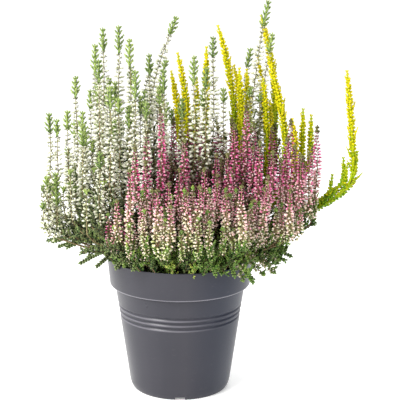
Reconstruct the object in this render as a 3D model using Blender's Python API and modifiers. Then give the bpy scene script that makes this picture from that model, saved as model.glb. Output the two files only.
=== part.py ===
"""A potted heather: white, pink and yellow heathers grown together in a plastic nursery pot.

Lengths are in millimetres up to the moment a mesh is made. +Z is up, -Y is the front, and the origin is
the middle of the pot's base.
"""

import math
from collections import namedtuple

import bmesh
import bpy
import numpy as np
from mathutils import Matrix, Vector
from mathutils.geometry import interpolate_bezier

MM = 0.001
UP = Vector((0, 0, 1))

# Pot: a collar under the rim, a ledge, a body with three grooves, and a floor that stands on a foot ring
# and on a round pad in its middle
POT_SIDES = 28
RIM_TOP = 121.0
RIM_RADIUS = 65.0
RIM_ROUND = 0.6
COLLAR_BOTTOM = 95.3
COLLAR_TAPER = math.tan(math.radians(5.3))
LEDGE_RADIUS = 58.1
BODY_TAPER = math.tan(math.radians(8.1))
WALL = 1.4
INNER_STEP_RISE = 0.8
INNER_STEP_WIDTH = 0.4
GROOVE_HEIGHTS = (77.5, 72.9, 68.2)
GROOVE_DEPTH = 0.8
GROOVE_HALF_WIDTH = 1.3
CORNER_TOP = 7.5
CORNER_BEND = (0.8, 4.6)
FLOOR_UNDERSIDE = 3.0
FLOOR_TOP = 4.6
FLOOR_CORNER = (2.0, 3.0)
FOOT_RADIUS = 43.0
FOOT_FLARE = 0.6
FOOT_WIDTH = 3.0
PAD_RADIUS = 11.0
NOTCH_COUNT = 4
NOTCH_WIDTH = 8.6
NOTCH_HEIGHT = 2.7
DRAIN_COUNT = 8
DRAIN_CIRCLE = 28.0
DRAIN_RADIUS = 3.5
DRAIN_SIDES = 10
CREASE_ANGLE = math.radians(30)

# Potting mix: level in the middle and sunk at the edge, with a hole for each stem
SOIL_TOP = 108.0
SOIL_DOME = 2.5
SOIL_SHOULDER = (37.0, 109.0)
SOIL_EDGE_HEIGHT = 106.0
SEAT_GAP = 0.3
HOLE_DEPTH = 20.0
HOLE_RADIUS = 3.2

# Stems spread out like a fan: where a spray stands above the pot gives where its foot is in the soil.
FAN_X = 2.5
FAN_Y = 1.9
FAN_SHIFT = 12.0
FAN_BOTTOM = 112.0
FAN_HEIGHT = 85.0
FAN_HEIGHT_LOST_AT_EDGE = 27.0
FOOT_LIMIT = 51.0

# Spikes: a plain stem below, then a thicker core with whorls of buds up to the tip
STEM_RADIUS = 1.25
STEM_STEP = 17.0
CORE_RADIUS = 1.9
TIP_RADIUS = 0.5
WHORL_PITCH = 10.0
BUD_REACH = 3.9
LEAFY_BUD_REACH = 2.8
BUD_LEVEL = 0.5
TIP_BUD_SHARE = 0.45
TIP_LENGTH = 6.0
TIP_FADE = 22.0
SWAY_SHARE = 0.8
SWAY_BEND = 1.5
GOLDEN_TURN = math.pi * (3 - math.sqrt(5))

# Side spikes: each leaves the main stem at a fork, and moves out to its offset over a rise
LOWEST_FORK = 120.0
FORK_SHARE = 0.85
FORK_RISE = 24.0
FORK_COVERED = 12.0

# Green shoots: each arches over the rim and carries a side twig on both sides
SHOOT_FOOT_CIRCLE = 50.5
SHOOT_RISE = 24.0
SHOOT_ARCH = 13.0
SHOOT_CLEARANCE = 2.0
SHOOT_POINTS = 40
SHOOT_BARE = 18.0
SHOOT_FORK = 0.45
TWIG_BARE = 6.0
TWIG_RADIUS = 1.6
LEAF_REACH = 2.2
LEAF_PITCH = 11.0

# A spray stands at (x, y) with its tip at height tip. Its buds go down by bloom. Its sides are spikes, each
# with an offset in x and y from the main one, and the height of its own tip. Sway moves the tip of the main
# spike over to one side, in x. Slow is how much more height the stem takes to lean out.
Spray = namedtuple("Spray", "x y tip bloom sides sway slow", defaults=((), 0, 0))

WHITE_SPRAYS = (
    Spray(-114, 2, 247, 84, ((8, -12, 243),), slow=-12),
    Spray(-92, 18, 277, 108, ((-9, 10, 246),), slow=-15),
    Spray(-76, 38, 304, 120, ((-6, 13, 262),)),
    Spray(-66, 0, 320, 132, ((-3, -13, 294),)),
    Spray(-54, 27, 321, 132, ((10, 9, 285),)),
    Spray(-43, -8, 311, 132, ((-9, -10, 262),)),
    Spray(-37, -35, 287, 120, ((9, -9, 262),)),
    Spray(-27, 15, 297, 108, ((10, -8, 270),)),
    Spray(-25, 50, 328, 96, ((-8, 12, 284),), 22),
    Spray(-14, -16, 286, 108, ()),
    Spray(12, -12, 297, 120, ((10, -5, 288),)),
    Spray(29, 15, 312, 120, ((9, -9, 268),)),
    Spray(65, 42, 342, 120, ((9, -6, 314),), 14),
    Spray(-82, -34, 242, 96, ((-10, -8, 205),), slow=-14),
    Spray(-66, -58, 222, 72, ((-11, -6, 192),), slow=-22),
    Spray(-106, -30, 200, 60, ((-10, -8, 176),), slow=-16),
    Spray(-58, -38, 274, 108, ()),
    Spray(-118, 30, 190, 48, ((-5, -12, 180),), slow=-6),
    Spray(-66, 66, 272, 108, ((-12, 6, 238),)),
    Spray(-20, 80, 262, 96, ((12, 5, 240),)),
    Spray(-98, 55, 232, 72, ((9, 12, 206),), slow=-20),
)
PINK_SPRAYS = (
    Spray(-16, -40, 257, 84, ()),
    Spray(-28, -60, 216, 72, ((-9, 6, 226),), slow=-15),
    Spray(-40, -78, 212, 60, ((-11, 2, 186),), slow=-20),
    Spray(4, -34, 230, 72, ()),
    Spray(20, -58, 209, 60, ((11, 2, 196),), slow=-20),
    Spray(-18, -86, 197, 60, ((9, 5, 201),), slow=-25),
    Spray(6, -84, 194, 48, ((10, 2, 199),), slow=-25),
    Spray(57, -8, 255, 96, ((-10, -7, 240),)),
    Spray(50, -76, 198, 60, ((-12, 4, 190),), slow=-25),
    Spray(70, -56, 192, 48, ((4, 11, 200),), slow=-25),
    Spray(92, -50, 190, 48, ((10, 6, 172),), slow=-28),
    Spray(68, -24, 227, 72, ((11, -5, 219),), slow=-15),
    Spray(92, -14, 228, 72, ((12, -4, 214),), slow=-25),
    Spray(120, 2, 236, 84, ((-8, -13, 214),), slow=-25),
    Spray(40, -36, 218, 60, ()),
    Spray(108, 58, 206, 60, ((-12, 8, 190),)),
    Spray(54, 84, 214, 60, ((12, 3, 200),), slow=-20),
)
YELLOW_SPRAYS = (
    Spray(9, 32, 296, 96, ((-9, 4, 280),), -11),
    Spray(24, 52, 300, 84, ()),
    Spray(49, 36, 320, 96, ((6, 12, 284),), -15),
    Spray(55, 16, 284, 84, ((7, 9, 282),), -3),
    Spray(88, 60, 328, 96, ((-11, 5, 290),), -14),
    Spray(94, 16, 294, 96, ((8, -3, 240),), -17),
    Spray(110, 26, 247, 72, ((8, 4, 241),)),
    Spray(155, 12, 282, 132, ((-8, 3, 205),), -9, 19),
    Spray(16, 88, 268, 84, ((-12, 4, 250),)),
)

# A side twig of a shoot spreads to one side, and ends shorter and higher than the main twig.
SideTwig = namedtuple("SideTwig", "side shorter higher")
SIDE_TWIGS = (SideTwig(-1, 5.0, 7.0), SideTwig(1, 12.0, -3.0))

# A green shoot leaves the soil at an angle round the pot, in degrees from the front, goes over the rim and
# ends at a radius and a height. Its side twigs spread by some degrees.
Shoot = namedtuple("Shoot", "angle radius tip spread")
GREEN_SHOOTS = (
    Shoot(20, 85, 125, 8),
    Shoot(42, 90, 115, 10),
    Shoot(70, 96, 124, 5),
    Shoot(84, 98, 122, 5),
    Shoot(112, 102, 124, 5),
    Shoot(169, 100, 126, 7),
    Shoot(209, 98, 130, 9),
    Shoot(263, 120, 130, 4),
    Shoot(277, 112, 136, 5),
    Shoot(305, 101, 129, 4),
    Shoot(324, 89, 129, 6),
)


def start_clean():
    for obj in list(bpy.data.objects):
        bpy.data.objects.remove(obj)
    for group in list(bpy.data.collections):
        bpy.data.collections.remove(group)


def new_collection(name):
    group = bpy.data.collections.new(name)
    bpy.context.scene.collection.children.link(group)
    return group


def new_material(name, colour, roughness):
    material = bpy.data.materials.new(name)
    material.use_nodes = True
    shader = material.node_tree.nodes["Principled BSDF"]
    shader.inputs["Base Color"].default_value = (*colour, 1.0)
    shader.inputs["Roughness"].default_value = roughness
    shader.inputs["Metallic"].default_value = 0.0
    return material


def new_object(name, bm, group, material=None):
    """The bmesh, drawn in millimetres, as an object in metres."""
    bmesh.ops.recalc_face_normals(bm, faces=bm.faces)
    bmesh.ops.scale(bm, vec=(MM, MM, MM), verts=bm.verts)
    mesh = bpy.data.meshes.new(name)
    bm.to_mesh(mesh)
    bm.free()
    if material:
        mesh.materials.append(material)
    obj = bpy.data.objects.new(name, mesh)
    group.objects.link(obj)
    return obj


def apply_modifiers(obj):
    graph = bpy.context.evaluated_depsgraph_get()
    finished = bpy.data.meshes.new_from_object(obj.evaluated_get(graph))
    obj.modifiers.clear()
    obj.data = finished


def cut(obj, bm, cutters):
    """Cuts the closed shapes of the bmesh out of an object."""
    cutter = new_object(obj.name + "_cutter", bm, cutters)
    cutter.hide_render = True
    cutter.display_type = "WIRE"
    modifier = obj.modifiers.new("Cut", "BOOLEAN")
    modifier.operation = "DIFFERENCE"
    modifier.object = cutter
    apply_modifiers(obj)


def join(name, pieces, group, material):
    """One closed solid from bmeshes that run into each other."""
    first, *others = [new_object(name, bm, group, material) for bm in pieces]
    if others:
        helpers = new_collection("joined_into_" + name)
        for other in others:
            group.objects.unlink(other)
            helpers.objects.link(other)
        modifier = first.modifiers.new("Join", "BOOLEAN")
        modifier.operation = "UNION"
        modifier.operand_type = "COLLECTION"
        modifier.collection = helpers
        apply_modifiers(first)
        for other in others:
            bpy.data.objects.remove(other)
        bpy.data.collections.remove(helpers)
    return first


def shade_round(obj):
    """Smooth shading that keeps creases sharp."""
    obj.data.shade_smooth()
    obj.data.set_sharp_from_angle(angle=CREASE_ANGLE)


def turned(name, profile, group, material):
    """A solid turned from (radius, height) points that run down its outer side."""
    bm = bmesh.new()
    points = [bm.verts.new((radius, 0, height)) for radius, height in profile]
    for upper, lower in zip(points, points[1:]):
        bm.edges.new((upper, lower))
    obj = new_object(name, bm, group, material)
    screw = obj.modifiers.new("Screw", "SCREW")
    screw.steps = screw.render_steps = POT_SIDES
    screw.use_merge_vertices = True
    screw.merge_threshold = 0.00001
    return obj


def collar_radius(height):
    return RIM_RADIUS - COLLAR_TAPER * (RIM_TOP - height)


def body_radius(height):
    return LEDGE_RADIUS - BODY_TAPER * (COLLAR_BOTTOM - height)


def groove(height):
    """The three profile points of a V-shaped groove in the body, from the top down."""
    top = height + GROOVE_HALF_WIDTH
    bottom = height - GROOVE_HALF_WIDTH
    return [
        (body_radius(top), top),
        (body_radius(height) - GROOVE_DEPTH, height),
        (body_radius(bottom), bottom),
    ]


def pot_inside(gap=0.0):
    """The pot's inner side from the floor up to the collar, moved in by a gap."""
    inset = WALL + gap
    floor = FLOOR_TOP + gap
    ledge = COLLAR_BOTTOM + WALL + gap
    corner_width, corner_height = FLOOR_CORNER
    return [
        (body_radius(floor) - inset - corner_width, floor),
        (body_radius(floor + corner_height) - inset, floor + corner_height),
        (body_radius(ledge) - inset, ledge),
        (collar_radius(ledge) - inset - INNER_STEP_WIDTH, ledge + INNER_STEP_RISE),
    ]


def make_pot(group, cutters, material):
    grooves = [point for height in GROOVE_HEIGHTS for point in groove(height)]
    bend_inset, bend_height = CORNER_BEND
    profile = [
        (0, FLOOR_TOP),
        *pot_inside(),
        (RIM_RADIUS - WALL, RIM_TOP),
        (RIM_RADIUS - RIM_ROUND, RIM_TOP),
        (RIM_RADIUS, RIM_TOP - RIM_ROUND),
        (collar_radius(COLLAR_BOTTOM + RIM_ROUND), COLLAR_BOTTOM + RIM_ROUND),
        (collar_radius(COLLAR_BOTTOM) - RIM_ROUND, COLLAR_BOTTOM),
        (LEDGE_RADIUS, COLLAR_BOTTOM),
        *grooves,
        (body_radius(CORNER_TOP), CORNER_TOP),
        (body_radius(CORNER_TOP) - bend_inset, bend_height),
        (FOOT_RADIUS + FOOT_FLARE, FLOOR_UNDERSIDE),
        (FOOT_RADIUS, 0),
        (FOOT_RADIUS - FOOT_WIDTH, 0),
        (FOOT_RADIUS - FOOT_WIDTH, FLOOR_UNDERSIDE),
        (PAD_RADIUS, FLOOR_UNDERSIDE),
        (PAD_RADIUS, 0),
        (0, 0),
    ]
    pot = turned("pot", profile, group, material)
    bm = bmesh.new()
    for index in range(NOTCH_COUNT):
        turn = Matrix.Rotation(math.tau * index / NOTCH_COUNT, 4, "Z")
        place = Matrix.Translation((0, FOOT_WIDTH / 2 - FOOT_RADIUS, 0))
        size = Matrix.Diagonal((NOTCH_WIDTH, 4 * FOOT_WIDTH, 2 * NOTCH_HEIGHT, 1))
        bmesh.ops.create_cube(bm, size=1.0, matrix=turn @ place @ size)
    for index in range(DRAIN_COUNT):
        turn = Matrix.Rotation(math.tau * (index + 0.5) / DRAIN_COUNT, 4, "Z")
        place = Matrix.Translation((0, DRAIN_CIRCLE, FLOOR_TOP / 2))
        add_rod(bm, turn @ place, DRAIN_RADIUS, 2 * FLOOR_TOP, DRAIN_SIDES)
    cut(pot, bm, cutters)
    shade_round(pot)


def add_rod(bm, matrix, radius, length, sides):
    bmesh.ops.create_cone(
        bm,
        cap_ends=True,
        segments=sides,
        radius1=radius,
        radius2=radius,
        depth=length,
        matrix=matrix,
    )


def ease(value):
    """A smooth step from 0 to 1."""
    value = min(max(value, 0.0), 1.0)
    return value * value * (3 - 2 * value)


def foot_of(spray):
    """Where a spray's stem stands in the soil."""
    foot = Vector(((spray.x - FAN_SHIFT) / FAN_X, spray.y / FAN_Y))
    return foot * min(1.0, FOOT_LIMIT / foot.length)


def main_line(spray, height):
    """The middle of a spray's main stem at a height."""
    foot = foot_of(spray)
    fan_height = FAN_HEIGHT + spray.slow - FAN_HEIGHT_LOST_AT_EDGE * (foot.length / FOOT_LIMIT) ** 2
    place = foot.lerp(Vector((spray.x, spray.y)), ease((height - FAN_BOTTOM) / fan_height))
    below_tip = (spray.tip - height) / (SWAY_SHARE * spray.bloom)
    sway = spray.sway * max(0.0, 1 - below_tip) ** SWAY_BEND
    return Vector((place.x + sway, place.y, height))


def fork_of(spray, tip):
    """The height where a side spike with its tip at height tip leaves the main stem."""
    return max(LOWEST_FORK, tip - FORK_SHARE * spray.bloom)


def side_line(spray, side, height):
    """The middle of a side spike at a height."""
    x, y, tip = side
    away = ease((height - fork_of(spray, tip)) / FORK_RISE)
    return main_line(spray, height) + Vector((x * away, y * away, 0))


def back_along(path, distances):
    """Points on a path at distances from its tip."""
    path = np.array(path)[::-1]
    run = np.concatenate(([0.0], np.cumsum(np.linalg.norm(np.diff(path, axis=0), axis=1))))
    columns = [np.interp(distances, run, path[:, axis]) for axis in range(3)]
    return [Vector(point) for point in zip(*columns)]


def path_length(path):
    return float(np.linalg.norm(np.diff(np.array(path), axis=0), axis=1).sum())


def heights_between(bottom, top):
    """Heights about a millimetre apart."""
    return np.linspace(bottom, top, round(top - bottom) + 1)


def bud_reach(below_tip, full):
    """How far buds stand out, a distance below the tip: short leaves at the tip, full buds under them."""
    grown = ease((below_tip - TIP_LENGTH) / TIP_FADE)
    return full * (TIP_BUD_SHARE + (1 - TIP_BUD_SHARE) * grown)


def station(points, index, radius, turn):
    """The frame of one ring of a stem: where it is, how it leans, its size and its turn."""
    before, after = points[max(index - 1, 0)], points[min(index + 1, len(points) - 1)]
    lean = UP.rotation_difference(after - before).to_matrix().to_4x4()
    spin = Matrix.Rotation(turn, 4, "Z")
    return Matrix.Translation(points[index]) @ lean @ spin @ Matrix.Diagonal((radius, radius, radius, 1))


def grow(points, radii, reaches, turn):
    """A three-sided stem through points. Each step with a reach is twisted and gets a whorl of buds."""
    bm = bmesh.new()
    here = station(points, 0, radii[0], turn)
    circle = bmesh.ops.create_circle(bm, cap_ends=True, segments=3, radius=1.0, matrix=here)
    end = circle["verts"][0].link_faces[0]
    for index, reach in enumerate(reaches, 1):
        turn += math.pi / 3 if reach else 0.0
        there = station(points, index, radii[index], turn)
        inner = end if index > 1 else None
        grown = bmesh.ops.extrude_face_region(bm, geom=[end])["geom"]
        end = next(item for item in grown if isinstance(item, bmesh.types.BMFace))
        if inner:
            bmesh.ops.delete(bm, geom=[inner], context="FACES_ONLY")
        bmesh.ops.transform(bm, matrix=there @ here.inverted(), verts=end.verts)
        here = there
        if reach:
            sides = {face for edge in end.edges for face in edge.link_faces} - {end}
            draw_out_buds(bm, sides, points[index - 1], points[index], reach)
    return bm


def draw_out_buds(bm, sides, below, above, reach):
    """Draws a whorl of three buds out of one step, from its side faces that stand on the lower ring."""
    step = above - below

    def level_of(point):
        return (point - below).dot(step) / step.length_squared

    halves = bmesh.ops.triangulate(bm, faces=list(sides), quad_method="SHORT_EDGE")["faces"]
    lower = [face for face in halves if level_of(face.calc_center_median()) < 0.5]
    for bud in bmesh.ops.poke(bm, faces=lower)["verts"]:
        out = bud.co - below - step * level_of(bud.co)
        bud.co = below + step * BUD_LEVEL + out + out.normalized() * reach


def spike(path, whorls, straight, reach, turn):
    """A stem along a path: buds down from its tip, and a plain straight length at its foot."""
    length = path_length(path)
    bare = max(1, round((length - straight - whorls * WHORL_PITCH) / STEM_STEP))
    blooming = [WHORL_PITCH * step for step in range(whorls + 1)]
    stem = list(np.linspace(blooming[-1], length - straight, bare + 1))[1:]
    foot = [length] if straight else []
    distances = (blooming + stem + foot)[::-1]
    plain = len(stem) + len(foot)
    radii = [STEM_RADIUS] * plain + [CORE_RADIUS] * whorls + [TIP_RADIUS]
    reaches = [0.0] * plain + [bud_reach(distance, reach) for distance in distances[plain:-1]]
    return grow(back_along(path, distances), radii, reaches, turn)


def make_spray(name, spray, reach, turn, group, material):
    foot_bottom = SOIL_TOP - HOLE_DEPTH + SEAT_GAP
    main = [main_line(spray, height) for height in heights_between(foot_bottom, spray.tip)]
    pieces = [spike(main, round(spray.bloom / WHORL_PITCH), FAN_BOTTOM - foot_bottom, reach, turn)]
    for side in spray.sides:
        tip = side[-1]
        heights = heights_between(fork_of(spray, tip), tip)
        path = [side_line(spray, side, height) for height in heights]
        whorls = int((path_length(path) - FORK_COVERED) / WHORL_PITCH)
        pieces.append(spike(path, whorls, 0, reach, 2 * turn))
    join(name, pieces, group, material)


def out_at(angle):
    """The level direction at an angle round the pot, in degrees from the front."""
    turn = math.radians(angle)
    return Vector((math.sin(turn), -math.cos(turn), 0))


def shoot_end(shoot, spread=0.0, shorter=0.0, higher=0.0):
    return out_at(shoot.angle + spread) * (shoot.radius - shorter) + UP * (shoot.tip + higher)


def shoot_path(shoot):
    """A green shoot's way out of the soil and over the rim."""
    start = out_at(shoot.angle) * SHOOT_FOOT_CIRCLE + UP * FAN_BOTTOM
    above_rim = out_at(shoot.angle) * (RIM_RADIUS + SHOOT_CLEARANCE)
    above_rim += UP * (max(RIM_TOP, shoot.tip) + SHOOT_ARCH)
    return interpolate_bezier(start, start + UP * SHOOT_RISE, above_rim, shoot_end(shoot), SHOOT_POINTS)


def side_twig_path(main, end):
    """A side twig leaves the main one and drifts off to its own end."""
    fork = round(SHOOT_FORK * len(main))
    drift = (end - main[-1]) / (len(main) - 1 - fork)
    return [point + drift * step for step, point in enumerate(main[fork:])]


def make_shoot(name, shoot, turn, group, material):
    buried = FAN_BOTTOM - SOIL_TOP + HOLE_DEPTH - SEAT_GAP
    main = shoot_path(shoot)
    pieces = [twig([main[0] - UP * buried, *main], buried + SHOOT_BARE, turn)]
    for side, shorter, higher in SIDE_TWIGS:
        spread = side * shoot.spread
        path = side_twig_path(main, shoot_end(shoot, spread, shorter, higher))
        pieces.append(twig(path, TWIG_BARE, turn + spread))
    join(name, pieces, group, material)


def twig(path, bare, turn):
    """A leafy twig along a path, bare for a length at its foot."""
    length = path_length(path)
    whorls = max(2, round((length - bare) / LEAF_PITCH))
    leafy = [(length - bare) * step / whorls for step in range(whorls + 1)]
    foot = [length - bare / 2, length] if bare > STEM_STEP else [length]
    distances = (leafy + foot)[::-1]
    radii = [STEM_RADIUS] * len(foot) + [TWIG_RADIUS] * whorls + [TIP_RADIUS]
    reaches = [0.0] * len(foot) + [LEAF_REACH] * whorls
    return grow(back_along(path, distances), radii, reaches, turn)


def make_soil(feet, group, cutters, material):
    """The potting mix, with a plain three-sided hole for each foot."""
    edge_radius = collar_radius(SOIL_TOP) - WALL - SEAT_GAP - INNER_STEP_WIDTH
    profile = [
        (0, SOIL_TOP + SOIL_DOME),
        SOIL_SHOULDER,
        (edge_radius, SOIL_EDGE_HEIGHT),
        *reversed(pot_inside(SEAT_GAP)),
        (0, FLOOR_TOP + SEAT_GAP),
    ]
    soil = turned("potting_mix", profile, group, material)
    bm = bmesh.new()
    for foot in feet:
        add_rod(bm, Matrix.Translation((foot.x, foot.y, SOIL_TOP)), HOLE_RADIUS, 2 * HOLE_DEPTH, 3)
    cut(soil, bm, cutters)
    shade_round(soil)


def build():
    start_clean()
    parts = new_collection("potted_heather")
    cutters = new_collection("cutters")
    make_pot(parts, cutters, new_material("anthracite_plastic", (0.075, 0.078, 0.085), 0.45))
    white = new_material("white_bloom", (0.80, 0.80, 0.68), 0.6)
    pink = new_material("pink_bloom", (0.62, 0.16, 0.34), 0.6)
    yellow = new_material("yellow_leaf", (0.72, 0.66, 0.05), 0.6)
    kinds = (
        ("white_spray", WHITE_SPRAYS, BUD_REACH, white),
        ("pink_spray", PINK_SPRAYS, BUD_REACH, pink),
        ("yellow_spray", YELLOW_SPRAYS, LEAFY_BUD_REACH, yellow),
    )
    for kind, sprays, reach, material in kinds:
        for index, spray in enumerate(sprays, 1):
            make_spray(f"{kind}_{index:02d}", spray, reach, index * GOLDEN_TURN, parts, material)
    green = new_material("green_leaf", (0.10, 0.19, 0.06), 0.6)
    for index, shoot in enumerate(GREEN_SHOOTS, 1):
        make_shoot(f"green_shoot_{index:02d}", shoot, index * GOLDEN_TURN, parts, green)
    feet = [foot_of(spray) for _, sprays, *_ in kinds for spray in sprays]
    feet += [out_at(shoot.angle) * SHOOT_FOOT_CIRCLE for shoot in GREEN_SHOOTS]
    make_soil(feet, parts, cutters, new_material("potting_mix", (0.05, 0.03, 0.018), 0.95))


build()
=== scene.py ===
"""The looks of a potted heather: white, pink and golden heathers grown together in a plastic nursery pot.

Plants are laid out in millimetres and made in metres. +Z is up, -Y is the front, and the origin is the
middle of the pot's base. A tone runs from 0 to 1 along the stops of a finish.
"""

import math
from collections import namedtuple

import bmesh
import bpy
import numpy as np
from mathutils import Matrix


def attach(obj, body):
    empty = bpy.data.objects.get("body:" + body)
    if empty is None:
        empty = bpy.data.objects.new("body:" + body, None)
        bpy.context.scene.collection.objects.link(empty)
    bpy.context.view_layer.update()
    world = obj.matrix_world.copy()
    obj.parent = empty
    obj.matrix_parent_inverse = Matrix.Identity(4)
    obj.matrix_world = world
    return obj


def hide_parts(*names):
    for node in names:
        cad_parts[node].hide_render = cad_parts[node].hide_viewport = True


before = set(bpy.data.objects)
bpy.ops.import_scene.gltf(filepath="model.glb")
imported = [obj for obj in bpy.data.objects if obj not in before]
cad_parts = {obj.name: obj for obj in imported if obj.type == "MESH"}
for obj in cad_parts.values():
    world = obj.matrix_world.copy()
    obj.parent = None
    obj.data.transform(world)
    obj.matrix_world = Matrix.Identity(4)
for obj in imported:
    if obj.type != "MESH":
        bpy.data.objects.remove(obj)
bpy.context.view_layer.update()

MM = 0.001
WHITE = (1.0, 1.0, 1.0, 1.0)
UP = np.array((0.0, 0.0, 1.0))
BACK = np.array((0.0, 1.0, 0.0))
GOLDEN_TURN = math.pi * (3 - math.sqrt(5))

# Pot, as in the frame
RIM_TOP = 121.0
RIM_RADIUS = 65.0
COLLAR_BOTTOM = 95.3
COLLAR_TAPER = math.tan(math.radians(5.3))
LEDGE_RADIUS = 58.1
BODY_TAPER = math.tan(math.radians(8.1))
BODY_BOTTOM = 5.6
WALL = 1.4
GROOVE_HEIGHTS = (77.5, 72.9, 68.2)
GROOVE_DEPTH = 1.25
GROOVE_HALF_WIDTH = 1.7
FLOOR_UNDERSIDE = 3.0
FLOOR_TOP = 4.6
FOOT_RADIUS = 43.0
FOOT_WIDTH = 3.0
PAD_RADIUS = 11.0
NOTCH_COUNT = 4
NOTCH_WIDTH = 8.6
NOTCH_HEIGHT = 2.7
DRAIN_COUNT = 8
DRAIN_CIRCLE = 28.0
DRAIN_RADIUS = 3.5
DRAIN_SIDES = 24
# The height of the painted highlight line under the collar
LIP_HEIGHT = 95.6
TURNED_STEPS = 96
SHARP_ANGLE = 38.0

# Potting mix. Its waves each have a number of radians a metre and a height.
SOIL_TOP = 108.0
SOIL_DOME = 2.5
SOIL_EDGE = 61.5
SOIL_RING = 1.6
SOIL_WAVES = ((90.0, 0.9), (210.0, 0.6), (480.0, 0.45))
CRUMB_COUNT = 240
# Stems start under its surface.
STEM_FOOT = SOIL_TOP - 6.0

# The radii of a stem at its foot and at its tip
MAIN_STEM = (1.25, 0.35)
SIDE_STEM = (0.8, 0.3)
LOW_STEM = (0.9, 0.3)
FILLING_STEM = (1.0, 0.3)
GOLDEN_MAIN_STEM = (1.2, 0.35)
GOLDEN_SIDE_STEM = (0.8, 0.35)
GOLDEN_FILLING_STEM = (1.0, 0.35)
GOLDEN_TWIG_STEM = (0.6, 0.3)
INNER_STEM = (0.9, 0.35)
RIM_STEM = (0.7, 0.3)
PLUME_STEM = (0.9, 0.4)
SHOOT_STEM = (1.1, 0.4)
SHOOT_TWIG_STEM = (0.7, 0.4)

# Stems spread out like a fan: where a spray stands above the pot gives where its foot is in the soil.
FAN_X = 2.5
FAN_Y = 1.9
FAN_SHIFT = 12.0
FAN_BOTTOM = 112.0
FAN_HEIGHT = 85.0
FAN_HEIGHT_LOST_AT_EDGE = 27.0
FOOT_LIMIT = 51.0
SWAY_SHARE = 0.8
SWAY_BEND = 1.5
LOWEST_FORK = 120.0
FORK_SHARE = 0.85
FORK_RISE = 24.0

# Outer sprays are this far from the middle, and the outermost are this far to one side.
OUTER_SPRAY = 70.0
OUTER_SIDE = 100.0

# The golden spray that leans far out has short twigs that stand up from it: the height where each leaves it,
# and its length.
GOLDEN_TWIGS = ((150.0, 15.0), (157.0, 17.0), (166.0, 24.0), (175.0, 25.0), (187.0, 24.0))

# Golden shoots fade to green down to a distance below the tip. The numbers after that are the tones of the
# paler ones and of their stems, then the sizes of their scales and how far apart scales and twigs are.
GOLDEN_FADE = 150.0
GOLDEN_PALER = 0.55
GOLDEN_STEM_TONE = 0.75
GOLDEN_SCALE_LENGTH = 4.1
GOLDEN_SCALE_WIDTH = 2.9
GOLDEN_SCALE_PITCH = 1.6
GOLDEN_TWIG_PITCH = 2.4

# Green shoots, their twigs, and the scale leaves that sheathe both
SHOOT_FOOT_CIRCLE = 50.5
SHOOT_RISE = 24.0
SHOOT_ARCH = 13.0
SHOOT_CLEARANCE = 2.0
SHOOT_POINTS = 40
SHOOT_FORK = 0.45
SHEATH_PITCH = 1.25
SHEATH_LENGTH = 3.8
SHEATH_WIDTH = 2.9
PLUME_ARCH = 135.0

# Leafy shoots among the sprays: where the middle of their crown is and how far it reaches in x and y, the
# heights of their tips, and the corner where they are dusky above: painted shade in near-black maroon.
INNER_SHOOTS = 50
INNER_MIDDLE = (0.0, 6.0)
INNER_REACH = (86.0, 54.0)
INNER_EDGE_TIP = 138.0
INNER_TIP_RISE = 66.0
INNER_SHADED_FROM = -34.0
INNER_SHADED_TO = 34.0
RIM_SHOOTS = 52

# Spikes that stand among the others and fill the plant: how many, from where to where in x and in y, the
# height of the highest, how much lower the others are at most, and how far their buds go down.
Filling = namedtuple("Filling", "count x y tip lower bloom")
PINK_FILLING = Filling(18, (-8.0, 106.0), (-2.0, 34.0), 244.0, 36.0, 88.0)
PINK_MIDDLE_FILLING = Filling(5, (2.0, 42.0), (-24.0, -8.0), 218.0, 18.0, 62.0)
PINK_RIGHT_FILLING = Filling(3, (94.0, 110.0), (-14.0, -2.0), 222.0, 20.0, 66.0)
DUSKY_FILLING = Filling(12, (8.0, 92.0), (22.0, 56.0), 240.0, 34.0, 92.0)
WHITE_FILLING = Filling(6, (-88.0, -34.0), (2.0, 34.0), 236.0, 44.0, 78.0)
WHITE_FAR_FILLING = Filling(3, (-10.0, 32.0), (50.0, 66.0), 238.0, 26.0, 90.0)
WHITE_BACK_FILLING = Filling(3, (58.0, 80.0), (16.0, 34.0), 268.0, 20.0, 104.0)
WHITE_EDGE_FILLING = Filling(8, (-117.0, -92.0), (-36.0, 14.0), 198.0, 30.0, 56.0)

# Shoots that come out under the flowers, over the rim: how many, the two angles round the pot that they stand
# between, in degrees from the front, how far out they reach, and the heights of their tips.
Plumes = namedtuple("Plumes", "count start stop reach tip")
SAGE_PLUMES = Plumes(20, 240.0, 326.0, (80.0, 112.0), (136.0, 186.0))
GREEN_PLUMES = Plumes(9, 26.0, 112.0, (76.0, 98.0), (122.0, 146.0))
TRAILING_SPIKES = Plumes(22, 41.0, 100.0, (77.0, 91.0), (112.0, 144.0))
CORNER_SPIKES = Plumes(7, -54.0, -24.0, (70.0, 79.0), (124.0, 143.0))
TRAILING_BLOOM = 40.0

# Low flowering spikes in two rows, between two angles: how far out and how high the nearer row is. Low
# spikes and white sprays have their lowest buds at about one height.
LOW_SPIKES = 46
LOW_FROM = -50.0
LOW_TO = 110.0
LOW_REACH = 76.0
LOW_TIP = 184.0
LOWEST_BUDS = 138.0

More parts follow.
